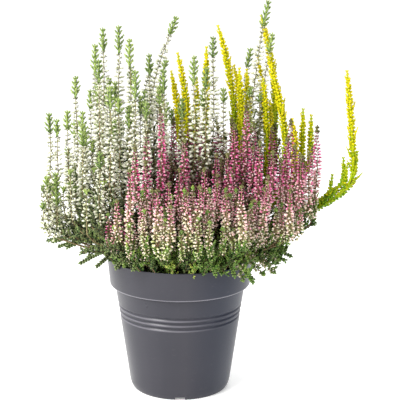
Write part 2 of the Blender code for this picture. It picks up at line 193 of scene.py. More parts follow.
# A spray stands at (x, y) with its tip at height tip. Its buds go down by bloom. Its side is a spike with an
# offset in x and y from the main one, and the height of its own tip. Sway moves the tip of the main spike
# over to one side, in x. Slow is how much more height the stem takes to lean out.
Spray = namedtuple("Spray", "x y tip bloom side sway slow", defaults=((), 0, 0))
WHITE_SPRAYS = (
    Spray(-114, 2, 247, 84, (8, -12, 243), slow=-12),
    Spray(-92, 18, 277, 108, (-9, 10, 246), slow=-15),
    Spray(-76, 38, 304, 120, (-6, 13, 262)),
    Spray(-66, 0, 320, 132, (-3, -13, 294)),
    Spray(-54, 27, 321, 132, (10, 9, 285)),
    Spray(-43, -8, 311, 132, (-9, -10, 262)),
    Spray(-37, -35, 287, 120, (9, -9, 262)),
    Spray(-27, 15, 297, 108, (10, -8, 270)),
    Spray(-25, 50, 328, 96, (-8, 12, 284), 22),
    Spray(-14, -16, 286, 108),
    Spray(12, -12, 297, 120, (10, -5, 288)),
    Spray(29, 15, 312, 120, (9, -9, 268)),
    Spray(65, 42, 342, 120, (9, -6, 314), 14),
    Spray(-82, -34, 242, 96, (-10, -8, 205), slow=-14),
    Spray(-66, -58, 222, 72, (-11, -6, 192), slow=-22),
    Spray(-106, -30, 200, 60, (-10, -8, 176), slow=-16),
    Spray(-58, -38, 274, 108),
    Spray(-118, 30, 190, 48, (-5, -12, 180), slow=-6),
    Spray(-66, 66, 272, 108, (-12, 6, 238)),
    Spray(-20, 80, 262, 96, (12, 5, 240)),
    Spray(-98, 55, 232, 72, (9, 12, 206), slow=-20),
)
PINK_SPRAYS = (
    Spray(-16, -40, 257, 84),
    Spray(-28, -60, 216, 72, (-9, 6, 226), slow=-15),
    Spray(-40, -78, 212, 60, (-11, 2, 186), slow=-20),
    Spray(4, -34, 230, 72),
    Spray(20, -58, 209, 60, (11, 2, 196), slow=-20),
    Spray(-18, -86, 197, 60, (9, 5, 201), slow=-25),
    Spray(6, -84, 194, 48, (10, 2, 199), slow=-25),
    Spray(57, -8, 255, 96, (-10, -7, 240)),
    Spray(50, -76, 198, 60, (-12, 4, 190), slow=-25),
    Spray(70, -56, 192, 48, (4, 11, 200), slow=-25),
    Spray(92, -50, 190, 48, (10, 6, 172), slow=-28),
    Spray(68, -24, 227, 72, (11, -5, 219), slow=-15),
    Spray(92, -14, 228, 72, (12, -4, 214), slow=-25),
    Spray(120, 2, 236, 84, (-8, -13, 214), slow=-25),
    Spray(40, -36, 218, 60),
    Spray(108, 58, 206, 60, (-12, 8, 190)),
    Spray(54, 84, 214, 60, (12, 3, 200), slow=-20),
)
YELLOW_SPRAYS = (
    Spray(9, 32, 296, 96, (-9, 4, 280), -11),
    Spray(24, 52, 300, 84),
    Spray(49, 36, 320, 96, (6, 12, 284), -15),
    Spray(55, 16, 284, 84, (7, 9, 282), -3),
    Spray(88, 60, 328, 96, (-11, 5, 290), -14),
    Spray(94, 16, 294, 96, (8, -3, 240), -17),
    Spray(110, 26, 247, 72, (8, 4, 241)),
    Spray(155, 12, 282, 132, (-8, 3, 205), -9, 19),
    Spray(16, 88, 268, 84, (-12, 4, 250)),
)
# Slim golden spikes that only the looks have, between the others
GOLDEN_FILLING = (Spray(79, 24, 274, 90, sway=-5), Spray(84, 36, 254, 84, sway=-3))

# A green shoot leaves the soil at an angle round the pot, in degrees from the front, goes over the rim and
# ends at a radius and a height. Its side twigs spread by some degrees: one to each side, each of which ends
# shorter and higher than the main twig.
Shoot = namedtuple("Shoot", "angle radius tip spread", defaults=(0,))
SideTwig = namedtuple("SideTwig", "side shorter higher")
SIDE_TWIGS = (SideTwig(-1, 5.0, 7.0), SideTwig(1, 12.0, -3.0))
GREEN_SHOOTS = (
    Shoot(20, 85, 125, 8),
    Shoot(42, 90, 115, 10),
    Shoot(70, 96, 124, 5),
    Shoot(84, 98, 122, 5),
    Shoot(112, 102, 124, 5),
    Shoot(169, 100, 126, 7),
    Shoot(209, 98, 130, 9),
    Shoot(263, 120, 130, 4),
    Shoot(277, 112, 136, 5),
    Shoot(305, 101, 129, 4),
    Shoot(324, 89, 129, 6),
)

# How leaves clothe a twig: their length and width, how far apart the pairs are along it, and how far they
# spread from it at its foot, in radians.
Leafing = namedtuple("Leafing", "length width pitch spread")
TIP_LEAVES = Leafing(2.4, 2.3, 1.25, 0.42)
TWIG_LEAVES = Leafing(2.8, 1.9, 1.7, 0.38)
TUFT_LEAVES = Leafing(3.0, 2.1, 1.5, 0.55)
SKIRT_LEAVES = Leafing(2.9, 2.2, 1.7, 0.30)
PLUME_LEAVES = Leafing(2.5, 2.0, 1.6, 0.45)
DEEP_LEAVES = Leafing(3.8, 2.2, 2.6, 0.5)
GOLDEN_LEAVES = Leafing(2.8, 2.2, 1.6, 0.40)


def unit(vectors):
    return vectors / np.linalg.norm(vectors, axis=-1, keepdims=True)


def ease(value):
    """A smooth step from 0 to 1."""
    value = np.clip(value, 0.0, 1.0)
    return value * value * (3 - 2 * value)


def across(headings):
    """Two directions square to each heading and to each other."""
    guide = np.where(np.abs(headings[..., 2:]) > 0.8, BACK, UP)
    first = unit(np.cross(headings, guide))
    return first, np.cross(headings, first)


def outward(headings, turns, rises=0.0):
    """Directions turned round each heading, and raised towards it: a rise of 0 is square to the heading."""
    first, second = across(headings)
    turns = np.asarray(turns)[..., None]
    rises = np.asarray(rises)[..., None]
    level = first * np.cos(turns) + second * np.sin(turns)
    return level * np.cos(rises) + headings * np.sin(rises)


class Path:
    """A line through points, read by the distance from its foot."""

    def __init__(self, points):
        self.points = np.array(points, float)
        steps = np.linalg.norm(np.diff(self.points, axis=0), axis=1)
        self.run = np.concatenate(([0.0], np.cumsum(steps)))
        self.length = self.run[-1]

    def at(self, distances):
        columns = [np.interp(distances, self.run, self.points[:, axis]) for axis in range(3)]
        return np.stack(columns, axis=-1)

    def stands(self, distances):
        """The points and the headings at some distances."""
        middle = np.clip(distances, 1.0, self.length - 1.0)
        return self.at(distances), unit(self.at(middle + 1.0) - self.at(middle - 1.0))


def spindle(sides, rings, flatness=1.0):
    """A closed shape of unit length: a point at each end, and rings of (height, radius) between them."""
    points = [(0.0, 0.0, 0.0)]
    for height, radius in rings:
        for side in range(sides):
            turn = math.tau * side / sides
            points.append((radius * math.cos(turn), radius * flatness * math.sin(turn), height))
    points.append((0.0, 0.0, 1.0))
    top = 1 + (len(rings) - 1) * sides
    faces = []
    for side in range(sides):
        after = (side + 1) % sides
        faces.append((0, 1 + after, 1 + side))
        for low in range(1, top, sides):
            faces += wall_faces(low, side, after, sides)
        faces.append((top + side, top + after, len(points) - 1))
    return np.array(points), np.array(faces)


def wall_faces(low, side, after, sides):
    """The two faces between a ring and the next, from one side to the one after."""
    high = low + sides
    return (low + side, low + after, high + after), (low + side, high + after, high + side)


BUD = spindle(4, ((0.26, 0.42), (0.70, 0.50)))
SMALL_BUD = spindle(3, ((0.26, 0.44), (0.70, 0.52)))
LEAF = spindle(3, ((0.45, 0.5),), 0.65)
BLUNT_LEAF = spindle(3, ((0.66, 0.5),), 0.8)
SCALE = spindle(4, ((0.70, 0.5),), 0.75)
CRUMB = spindle(5, ((0.15, 0.46), (0.85, 0.42)), 0.55)


class Growth:
    """A piece under construction: batches of small closed bodies, in millimetres."""

    def __init__(self, seed):
        self.random = np.random.default_rng(seed)
        self.batches = []

    def within(self, low, high, count=None):
        """Random numbers between two others."""
        return self.random.uniform(low, high, count)

    def about(self, spread, count=None):
        """Random numbers about 0."""
        return self.random.normal(0, spread, count)

    def add(self, finish, points, faces, along, tone):
        """Bodies of like faces: points are (body, point, axis), and each body has its own tone."""
        count = len(points)
        tint = self.random.random(count)
        along = np.broadcast_to(along, points.shape[:2])
        self.batches.append((finish, points, faces, along, np.broadcast_to(tone, (count,)), tint))

    def copies(self, finish, shape, roots, directions, lengths, widths, tone):
        """Copies of a shape, each with its foot at a root and its length along a direction."""
        corners, faces = shape
        first, second = across(directions)
        lengths = np.broadcast_to(lengths, (len(roots),))[:, None]
        widths = np.broadcast_to(widths, (len(roots),))[:, None]
        axes = np.stack((first * widths, second * widths, directions * lengths), axis=1)
        points = roots[:, None, :] + np.einsum("pa,kax->kpx", corners, axes)
        self.add(finish, points, faces, corners[:, 2], tone)

    def tubes(self, finish, lines, radii, sides, tone):
        """A tube with closed ends along each line of points."""
        first, second = across(unit(np.gradient(lines, axis=1)))
        turns = np.arange(sides) * math.tau / sides
        ring = first[:, :, None] * np.cos(turns)[:, None] + second[:, :, None] * np.sin(turns)[:, None]
        walls = lines[:, :, None] + ring * radii[..., None, None]
        bodies, rings = lines.shape[:2]
        last = (rings - 1) * sides
        faces = []
        for low in range(0, last, sides):
            for side in range(sides):
                faces += wall_faces(low, side, (side + 1) % sides, sides)
        for side in range(1, sides - 1):
            faces += (0, side + 1, side), (last, last + side, last + side + 1)
        along = np.repeat(np.linspace(0, 1, rings), sides)
        self.add(finish, walls.reshape(bodies, rings * sides, 3), np.array(faces), along, tone)

    def piece(self, name, slot, nodes):
        """The finished object, which stands for the frame's nodes."""
        finishes = list(dict.fromkeys(batch[0] for batch in self.batches))
        points, faces, numbers, values = [], [], [], {"along": [], "tone": [], "tint": []}
        total = 0
        for finish, body_points, body_faces, along, tone, tint in self.batches:
            count, size = body_points.shape[:2]
            starts = total + size * np.arange(count)
            points.append(body_points.reshape(-1, 3))
            faces.append((body_faces[None] + starts[:, None, None]).reshape(-1, 3))
            numbers.append(np.full(count * len(body_faces), finishes.index(finish)))
            values["along"].append(along.reshape(-1))
            values["tone"].append(np.repeat(tone, size))
            values["tint"].append(np.repeat(tint, size))
            total += count * size
        mesh = bpy.data.meshes.new(name)
        mesh.from_pydata((np.concatenate(points) * MM).tolist(), [], np.concatenate(faces).tolist())
        mesh.polygons.foreach_set("material_index", np.concatenate(numbers))
        for key, lists in values.items():
            attribute = mesh.attributes.new(key, "FLOAT", "POINT")
            attribute.data.foreach_set("value", np.concatenate(lists).astype(np.float32))
        dressed(bpy.data.objects.new(name, mesh), finishes, nodes)


def dressed(obj, finishes, nodes):
    """Puts a smooth new object in the scene: it rides on the plant's one body and stands for the nodes."""
    if not obj.users_collection:
        bpy.context.scene.collection.objects.link(obj)
    obj.data.shade_smooth()
    for finish in finishes:
        obj.data.materials.append(finish)
    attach(obj, "root")
    if nodes:
        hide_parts(*nodes)


class Value:
    """A number in a material that Python's arithmetic works on."""

    def __init__(self, finish, socket):
        self.finish = finish
        self.socket = socket

    def maths(self, operation, first, second=0.0):
        return self.finish.node("Math", {"operation": operation}, {0: first, 1: second})

    def __add__(self, other):
        return self.maths("ADD", self, other)

    def __sub__(self, other):
        return self.maths("SUBTRACT", self, other)

    def __mul__(self, other):
        return self.maths("MULTIPLY", self, other)

    def __radd__(self, other):
        return self.maths("ADD", other, self)

    def __rsub__(self, other):
        return self.maths("SUBTRACT", other, self)

    def __rmul__(self, other):
        return self.maths("MULTIPLY", other, self)

    def __abs__(self):
        return self.maths("ABSOLUTE", self)


class Nodes:
    """A node tree under construction."""

    def __init__(self, tree):
        self.tree = tree

    def feed(self, socket, value):
        if isinstance(value, Value):
            self.tree.links.new(value.socket, socket)
        else:
            socket.default_value = value

    def node(self, kind, settings=None, sockets=None, output=0):
        """A shader node with its settings, then the values or links of its sockets."""
        made = self.tree.nodes.new("ShaderNode" + kind)
        for setting, value in (settings or {}).items():
            if setting == "stops":
                self.set_stops(made.color_ramp.elements, value)
            else:
                setattr(made, setting, value)
        for key, value in (sockets or {}).items():
            if isinstance(key, int):
                socket = made.inputs[key]
            else:
                socket = next(item for item in made.inputs if item.name == key and item.enabled)
            self.feed(socket, value)
        shown = [item for item in made.outputs if item.enabled]
        return Value(self, shown[output] if isinstance(output, int) else made.outputs[output])

    def set_stops(self, elements, stops):
        while len(elements) < len(stops):
            elements.new(1.0)
        for element, (position, colour) in zip(elements, stops):
            element.position = position
            element.color = (*colour, 1.0)

    def between(self, value, low, high, to_low=0.0, to_high=1.0):
        """The value moved from one range to another, and kept inside it."""
        return self.node("MapRange", {}, {"Value": value, 1: low, 2: high, 3: to_low, 4: to_high})


class Finish(Nodes):
    """A material under construction. Constants are set on the shader's own sockets."""

    def __init__(self, name, constants):
        self.material = bpy.data.materials.new(name)
        self.material.use_nodes = True
        super().__init__(self.material.node_tree)
        self.shader = self.tree.nodes["Principled BSDF"]
        for socket, value in constants.items():
            self.shader.inputs[socket].default_value = value

    def attribute(self, name):
        return self.node("Attribute", {"attribute_name": name}, output="Fac")

    def place(self):
        return self.node("TexCoord", output="Object")

    def part(self, axis):
        """How far along X, Y or Z a place on the object is."""
        return self.node("SeparateXYZ", {}, {"Vector": self.place()}, output=axis)

    def ramp(self, value, stops):
        return self.node("ValToRGB", {"stops": stops}, {"Fac": value})

    def mix(self, factor, first, second, blend="MIX"):
        """Two colours mixed. A plain colour has no alpha."""
        settings = {"data_type": "RGBA", "blend_type": blend}
        if isinstance(second, tuple):
            second = (*second, 1.0)
        return self.node("Mix", settings, {"Factor": factor, "A": first, "B": second})

    def noise(self, scale, detail=3.0, roughness=0.5, stretch=1.0):
        """Noise whose scale is in cells a metre, and which is stretched up the object below 1."""
        where = self.node("Mapping", {}, {"Vector": self.place(), "Scale": (1.0, 1.0, stretch)})
        sockets = {"Vector": where, "Scale": scale, "Detail": detail, "Roughness": roughness}
        return self.node("TexNoise", {}, sockets, output="Fac")

    def set(self, socket, value):
        self.feed(self.shader.inputs[socket], value)

    def done(self, colour, roughness, height, distance, strength):
        """The material, with its colour, roughness and bump."""
        self.set("Base Color", colour)
        self.set("Roughness", roughness)
        sockets = {"Height": height, "Distance": distance, "Strength": strength}
        self.set("Normal", self.node("Bump", {}, sockets))
        return self.material


PALE_PETAL = (0.97, 0.92, 0.86)
PALE_LEAF = (0.80, 0.78, 0.30)


def grey(level):
    return (level, level, level)


def petal_finish(name, pale_share, stops, heel_stops):
    """Buds: a colour by tone, with a darker heel where the petals leave the stem, and paler at the tips."""
    finish = Finish(name, {"Specular IOR Level": 0.3})
    tone, along, tint = map(finish.attribute, ("tone", "along", "tint"))
    petal = finish.ramp(tone + (tint - 0.5) * 0.44, stops)
    pale = finish.mix(pale_share, petal, PALE_PETAL)
    heel = finish.ramp(tone, heel_stops)
    coloured = finish.mix(finish.between(along, 0.15, 0.55), heel, petal)
    coloured = finish.mix(finish.between(along, 0.66, 0.95), coloured, pale)
    blotches = finish.noise(900.0, 2.0)
    shade = finish.ramp(blotches * 0.5 + tint * 0.5, ((0.2, grey(0.80)), (0.75, grey(1.0))))
    colour = finish.mix(1.0, coloured, shade, "MULTIPLY")
    roughness = finish.between(blotches, 0.3, 0.7, 0.45, 0.65)
    return finish.done(colour, roughness, finish.noise(2600.0, 2.0), 0.00012, 0.6)


def leaf_finish(name, stops, pale=0.25, gloss=0.35):
    """Scale leaves: a colour by tone, paler at the point, with a fine grain."""
    finish = Finish(name, {"Specular IOR Level": gloss})
    tone, along, tint = map(finish.attribute, ("tone", "along", "tint"))
    leaf = finish.ramp(tone + (tint - 0.5) * 0.30, stops)
    point = finish.mix(pale, leaf, PALE_LEAF)
    coloured = finish.mix(finish.between(along, 0.55, 1.0), leaf, point)
    grain = finish.noise(1500.0, 2.0)
    shade = finish.ramp(grain, ((0.3, grey(0.78)), (0.65, grey(1.0))))
    colour = finish.mix(1.0, coloured, shade, "MULTIPLY")
    return finish.done(colour, finish.between(grain, 0.3, 0.7, 0.42, 0.62), grain, 0.00015, 0.5)


def bark_finish():
    """Thin woody stems: brown below, tan, olive and reddish above."""
    finish = Finish("heather_bark", {})
    tone = finish.attribute("tone") - finish.between(finish.attribute("along"), 0.15, 0.75, 0.38, 0.0)
    ridges = finish.noise(900.0, 4.0, 0.6, 0.25)
    colour = finish.ramp(tone + (ridges - 0.5) * 0.35, (
        (0.0, (0.060, 0.032, 0.016)), (0.35, (0.17, 0.095, 0.045)), (0.6, (0.28, 0.21, 0.10)),
        (0.8, (0.30, 0.29, 0.14)), (1.0, (0.36, 0.20, 0.13)),
    ))
    return finish.done(colour, finish.between(ridges, 0.3, 0.7, 0.6, 0.85), ridges, 0.0002, 0.7)


def plastic_finish():
    """Satin moulded plastic, anthracite: fine grain, faint flow marks up the wall and a little dust.

    Painted pale highlights run along the lower edges of the collar and the grooves, and painted shade
    makes the +X side a little darker and bluer.
    """
    finish = Finish("anthracite_satin_plastic", {"Specular IOR Level": 0.32})
    flow = finish.noise(22.0, 3.0, 0.5, 0.12)
    cloud = finish.noise(14.0, 4.0, 0.55)
    scuff = finish.noise(160.0, 5.0, 0.7, 2.2)
    stops = (0.35, (0.031, 0.031, 0.041)), (0.65, (0.042, 0.041, 0.052))
    near = finish.ramp(flow * 0.6 + cloud * 0.4, stops)
    # Painted shade: the +X side turns darker and bluer.
    far = finish.mix(1.0, near, (0.42, 0.56, 0.84), "MULTIPLY")
    side = finish.part("X")
    height = finish.part("Z")
    body = finish.mix(finish.between(side, 0.005, 0.040), near, far)
    # Painted highlight: pale lines on the collar's and grooves' lower edges, the grooves' strongest at -X.
    painted_highlight = 1.0 - finish.between(abs(height - LIP_HEIGHT * MM), 0.0004, 0.0013)
    painted_highlight = painted_highlight * finish.between(cloud, 0.25, 0.6, 0.5, 0.9)
    groove_highlight_share = finish.between(side, 0.0, 0.03, 0.34, 0.10)
    for groove_height in GROOVE_HEIGHTS:
        edge = abs(height - (groove_height - GROOVE_HALF_WIDTH) * MM)
        painted_highlight = painted_highlight + groove_highlight_share * (1.0 - finish.between(edge, 0.0003, 0.0009))
    # The painted highlight's pale colour
    body = finish.mix(painted_highlight, body, (0.30, 0.29, 0.33))
    dusty = finish.between(scuff, 0.60, 0.78, 0.0, 0.14)
    colour = finish.mix(dusty, body, (0.16, 0.155, 0.15))
    roughness = finish.between(cloud, 0.3, 0.7, 0.27, 0.36) + dusty * 0.5
    return finish.done(colour, roughness, finish.noise(5200.0, 2.0), 0.00006, 0.35)


def soil_finish():
    """Moist peat with paler fibres and specks of bark."""
    finish = Finish("moist_potting_mix", {})
    lumps = finish.noise(260.0, 6.0, 0.65)
    specks = finish.noise(1100.0, 3.0, 0.6)
    stops = (0.3, (0.010, 0.006, 0.004)), (0.55, (0.040, 0.023, 0.013)), (0.75, (0.095, 0.055, 0.030))
    pale = finish.between(specks, 0.62, 0.74, 0.0, 0.5)
    colour = finish.mix(pale, finish.ramp(lumps, stops), (0.20, 0.13, 0.075))
    roughness = finish.between(lumps, 0.3, 0.7, 0.75, 0.95)
    return finish.done(colour, roughness, lumps * 0.7 + specks * 0.3, 0.0012, 0.8)


def crumb_finish():
    """Bits of bark and peat on the potting mix."""
    finish = Finish("bark_bits", {})
    rings = finish.noise(700.0, 4.0, 0.6, 3.0)
    stops = (0.0, (0.018, 0.010, 0.006)), (0.5, (0.075, 0.038, 0.018)), (1.0, (0.24, 0.14, 0.07))
    colour = finish.ramp(finish.attribute("tint") + (rings - 0.5) * 0.4, stops)
    return finish.done(colour, 0.85, rings, 0.0004, 0.8)


def floor_finish():
    finish = Finish("pale_floor", {"Roughness": 0.6, "Emission Color": WHITE, "Emission Strength": 0.3})
    stops = (0.0, grey(0.90)), (1.0, grey(0.93))
    finish.set("Base Color", finish.ramp(finish.noise(2.5, 2.0), stops))
    return finish.material


WHITE_PETAL = petal_finish(
    "white_petals", 0.3,
    ((0.0, (0.62, 0.64, 0.38)), (0.4, (0.78, 0.79, 0.62)), (1.0, (0.88, 0.87, 0.77))),
    ((0.0, (0.40, 0.48, 0.17)), (1.0, (0.62, 0.66, 0.38))),
)
PINK_PETAL = petal_finish(
    "pink_petals", 0.75,
    (
        (0.0, (0.50, 0.56, 0.20)), (0.16, (0.90, 0.77, 0.58)), (0.36, (0.93, 0.60, 0.57)),
        (0.56, (0.88, 0.20, 0.42)), (0.76, (0.70, 0.036, 0.27)), (0.9, (0.38, 0.055, 0.13)),
        (1.0, (0.28, 0.12, 0.11)),
    ),
    (
        (0.0, (0.30, 0.36, 0.10)), (0.35, (0.46, 0.27, 0.17)), (0.7, (0.34, 0.045, 0.11)),
        (1.0, (0.13, 0.025, 0.04)),
    ),
)
SAGE_LEAF = leaf_finish("sage_leaves", (
    (0.0, (0.012, 0.026, 0.011)), (0.3, (0.042, 0.082, 0.028)), (0.55, (0.115, 0.20, 0.052)),
    (0.8, (0.235, 0.36, 0.080)), (1.0, (0.42, 0.54, 0.15)),
))
FRESH_LEAF = leaf_finish("fresh_leaves", (
    (0.0, (0.010, 0.032, 0.010)), (0.3, (0.035, 0.110, 0.016)), (0.55, (0.105, 0.25, 0.022)),
    (0.8, (0.28, 0.42, 0.050)), (1.0, (0.60, 0.62, 0.12)),
))
GOLDEN_LEAF = leaf_finish("golden_leaves", (
    (0.0, (0.060, 0.21, 0.010)), (0.3, (0.22, 0.41, 0.008)), (0.55, (0.44, 0.53, 0.004)),
    (0.8, (0.66, 0.61, 0.004)), (1.0, (0.82, 0.70, 0.006)),
), pale=0.0, gloss=0.2)
WHITE_BRACT = leaf_finish(
    "bracts_of_white_heather",
    ((0.2, (0.070, 0.066, 0.036)), (0.5, (0.066, 0.086, 0.034)), (0.8, (0.085, 0.14, 0.048))),
)
PINK_BRACT = leaf_finish(
    "bracts_of_pink_heather",
    ((0.0, (0.16, 0.26, 0.035)), (0.4, (0.12, 0.12, 0.035)), (0.8, (0.060, 0.018, 0.018))),
)
BARK = bark_finish()
CRUMBS = crumb_finish()

# How leafy twigs clothe a stem: their finish, tone and length, how far apart they are, their leaves, and how
# much they turn upward.
Leafage = namedtuple("Leafage", "finish tone length spacing leaves lift")
WHITE_BASE = Leafage(SAGE_LEAF, 0.30, 15.0, 4.0, TWIG_LEAVES, 0.6)
PINK_BASE = Leafage(FRESH_LEAF, 0.40, 6.0, 2.7, TUFT_LEAVES, 0.3)
LOW_BASE = Leafage(FRESH_LEAF, 0.46, 8.0, 3.6, TUFT_LEAVES, 0.9)
SKIRT_TWIGS = Leafage(SAGE_LEAF, 0.34, 12.0, 2.8, SKIRT_LEAVES, 1.1)
GREEN_SKIRT_TWIGS = Leafage(FRESH_LEAF, 0.40, 11.0, 2.8, TUFT_LEAVES, 1.3)
# Twigs deep among the sprays: real leafy growth, with a very dark tone that is painted shade
DEEP_TWIGS = Leafage(SAGE_LEAF, 0.16, 18.0, 4.9, DEEP_LEAVES, 0.5)
RIM_TWIGS = Leafage(FRESH_LEAF, 0.5, 6.5, 2.0, TUFT_LEAVES, 0.5)
TRAILING_TWIGS = Leafage(FRESH_LEAF, 0.46, 4.2, 2.2, TUFT_LEAVES, 0.3)
SAGE_PLUME_TWIGS = Leafage(SAGE_LEAF, 0.33, 6.0, 1.35, PLUME_LEAVES, 0.1)
GREEN_PLUME_TWIGS = Leafage(FRESH_LEAF, 0.42, 7.0, 1.9, PLUME_LEAVES, 0.3)

# How a heather's spikes look: its finishes, its buds and how far below the tip they are young, the leafy tip
# above them with its side arms, how many extra side spikes it has, the tones of its tip and stem, and its
# foliage.
Habit = namedtuple(
    "Habit",
    "petal leaf bract bud bud_length bud_width bract_width pitch young tip_share tip_least arm_length extra"
    " leaf_tone stem_tone foliage",
)
WHITE_HABIT = Habit(
    WHITE_PETAL, SAGE_LEAF, WHITE_BRACT, BUD, 5.5, 2.2, 1.6, 2.0, 32.0, 0.15, 4.0, 4.4, 1, 0.76, 0.72,
    WHITE_BASE,
)
PINK_HABIT = Habit(
    PINK_PETAL, PINK_BRACT, PINK_BRACT, BUD, 3.8, 1.85, 1.2, 1.3, 22.0, 0.03, 3.0, 1.8, 2, 0.45, 0.6,
    PINK_BASE,
)
LOW_HABIT = PINK_HABIT._replace(
    leaf=FRESH_LEAF, bud=SMALL_BUD, bud_length=3.3, bud_width=1.7, young=14.0, arm_length=1.5, leaf_tone=0.5,
    stem_tone=0.42, foliage=LOW_BASE,
)
TRAILING_HABIT = LOW_HABIT._replace(young=5.0, tip_least=1.8, arm_length=1.0)
FILLING_HABIT = PINK_HABIT._replace(bud=SMALL_BUD)
INNER_HABIT = WHITE_HABIT._replace(bud=SMALL_BUD)
BACK_HABIT = INNER_HABIT._replace(tip_share=0.05)
LEAFY_HABIT = WHITE_HABIT._replace(tip_share=0.45)
# White sprays whose tips are below this height are leafy.
LEAFY_BELOW = 205.0
# Twigs reach up among the lowest buds, to this share of the bloom below the tip.
BUDDED_SHARE = 0.85


def main_line(spray, heights):
    """The middle of a spray's main stem at some heights."""
    foot = np.array(((spray.x - FAN_SHIFT) / FAN_X, spray.y / FAN_Y))
    foot = foot * min(1.0, FOOT_LIMIT / np.linalg.norm(foot))
    share = np.linalg.norm(foot) / FOOT_LIMIT
    fan_height = FAN_HEIGHT + spray.slow - FAN_HEIGHT_LOST_AT_EDGE * share**2
    moved = ease((heights - FAN_BOTTOM) / fan_height)
    below_tip = (spray.tip - heights) / (SWAY_SHARE * spray.bloom)
    sway = spray.sway * np.maximum(0.0, 1 - below_tip) ** SWAY_BEND
    x = foot[0] + (spray.x - foot[0]) * moved + sway
    y = foot[1] + (spray.y - foot[1]) * moved
    return np.stack((x, y, heights), axis=-1)


def heights_between(bottom, top):
    return np.linspace(bottom, top, round(top - bottom) + 1)


def main_path(spray, growth=None, wave=0.0):
    """A spray's main stem from its foot in the soil to its tip, with a slow wave of some size."""
    line = main_line(spray, heights_between(STEM_FOOT, spray.tip))
    return Path(wavy(growth, line, wave) if wave else line)


def side_path(spray, side):
    """A side spike, from where it leaves the main stem to its own tip."""
    x, y, tip = side
    fork = max(LOWEST_FORK, tip - FORK_SHARE * spray.bloom)
    heights = heights_between(fork, tip)
    away = ease((heights - fork) / FORK_RISE)
    return Path(main_line(spray, heights) + away[:, None] * np.array((x, y, 0.0)))


def wavy(growth, points, size):
    """The line with a slow sideways wave of a seeded phase that dies out at both ends."""
    rise = np.linspace(0, 1, len(points))
    fade = np.sin(math.pi * rise)
    phases = growth.within(0, math.tau, 2)
    points = points.copy()
    for axis in (0, 1):
        points[:, axis] += size * fade * np.sin(math.tau * 1.6 * rise + phases[axis])
    return points


def steps_of(pairs):
    """The step up a stem of each leaf of some pairs."""
    return np.repeat(np.arange(pairs), 2)


def turns_of(growth, step, spread):
    """The turns of leaves that stand in pairs, each pair square to the last, and each leaf a little off."""
    facing = np.tile([0, math.pi], len(step) // 2)
    return step * (math.pi / 2) + facing + growth.about(spread, len(step))


def add_stem(growth, path, radii, tone):
    """A woody stem, thinner towards its tip."""
    foot_radius, tip_radius = radii
    distances = np.linspace(0, path.length, max(3, round(path.length / 8.5)))
    radii = foot_radius + (tip_radius - foot_radius) * (distances / path.length) ** 0.6
    growth.tubes(BARK, path.at(distances)[None], radii[None], 5, tone)


def add_twigs(growth, finish, roots, headings, lengths, bend, tone, leafing):
    """Leafy twigs that curve by a bend, with pairs of scale leaves, each pair square to the last."""
    lengths = np.broadcast_to(lengths, (len(roots),))
    tone = np.broadcast_to(tone, (len(roots),))
    rings = np.linspace(0, 1, 3)[None, :, None] * lengths[:, None, None]
    lines = roots[:, None] + headings[:, None] * rings + bend * rings**2 / (2 * lengths[:, None, None])
    radii = np.linspace(0.45, 0.25, 3) * leafing.width
    growth.tubes(finish, lines, np.broadcast_to(radii, lines.shape[:2]), 3, tone - 0.1)

    pairs = np.maximum(2, np.round(lengths / leafing.pitch).astype(int))
    twig = np.repeat(np.arange(len(roots)), 2 * pairs)
    step = np.concatenate([steps_of(count) for count in pairs])
    share = (step + 0.6) / pairs[twig]
    run = (share * lengths[twig])[:, None]
    full = lengths[twig][:, None]
    points = roots[twig] + headings[twig] * run + bend * run**2 / (2 * full)
    leaning = unit(headings[twig] + bend * run / full)
    turns = turns_of(growth, step, 0.12) + twig * GOLDEN_TURN
    rises = math.pi / 2 - leafing.spread * (1 - 0.5 * share) + growth.about(0.07, len(step))
    size = 0.72 + 0.28 * np.sin(math.pi * np.minimum(share + 0.15, 1.0))
    size = size * growth.within(0.88, 1.12, len(step))
    tone = tone[twig] + 0.22 * (share - 0.4)
    directions = outward(leaning, turns, rises)
    growth.copies(finish, BLUNT_LEAF, points, directions, leafing.length * size, leafing.width * size, tone)


def add_leafy_tip(growth, path, tip_length, habit, tone):
    """The green tip over the buds: a leafy axis with pairs of short arms, each pair square to the last."""
    top = path.at(np.array([path.length - tip_length]))
    aim = path.at(np.array([path.length])) - top
    reach = np.linalg.norm(aim)
    add_twigs(growth, habit.leaf, top, aim / reach, reach, np.zeros(3), tone, TIP_LEAVES)
    pairs = max(2, round(tip_length / 2.5))
    step = steps_of(pairs)
    below = 1.6 + (tip_length - 1.6) * (step + 0.5) / pairs
    roots, headings = path.stands(path.length - below)
    turns = turns_of(growth, step, 0.18)
    directions = outward(headings, turns, growth.within(0.62, 0.9, 2 * pairs))
    lengths = habit.arm_length * (0.5 + 0.5 * ease(below / 14.0)) * growth.within(0.8, 1.2, 2 * pairs)
    bend = headings.mean(axis=0) * 0.35
    add_twigs(growth, habit.leaf, roots, directions, lengths, bend, tone, TIP_LEAVES)


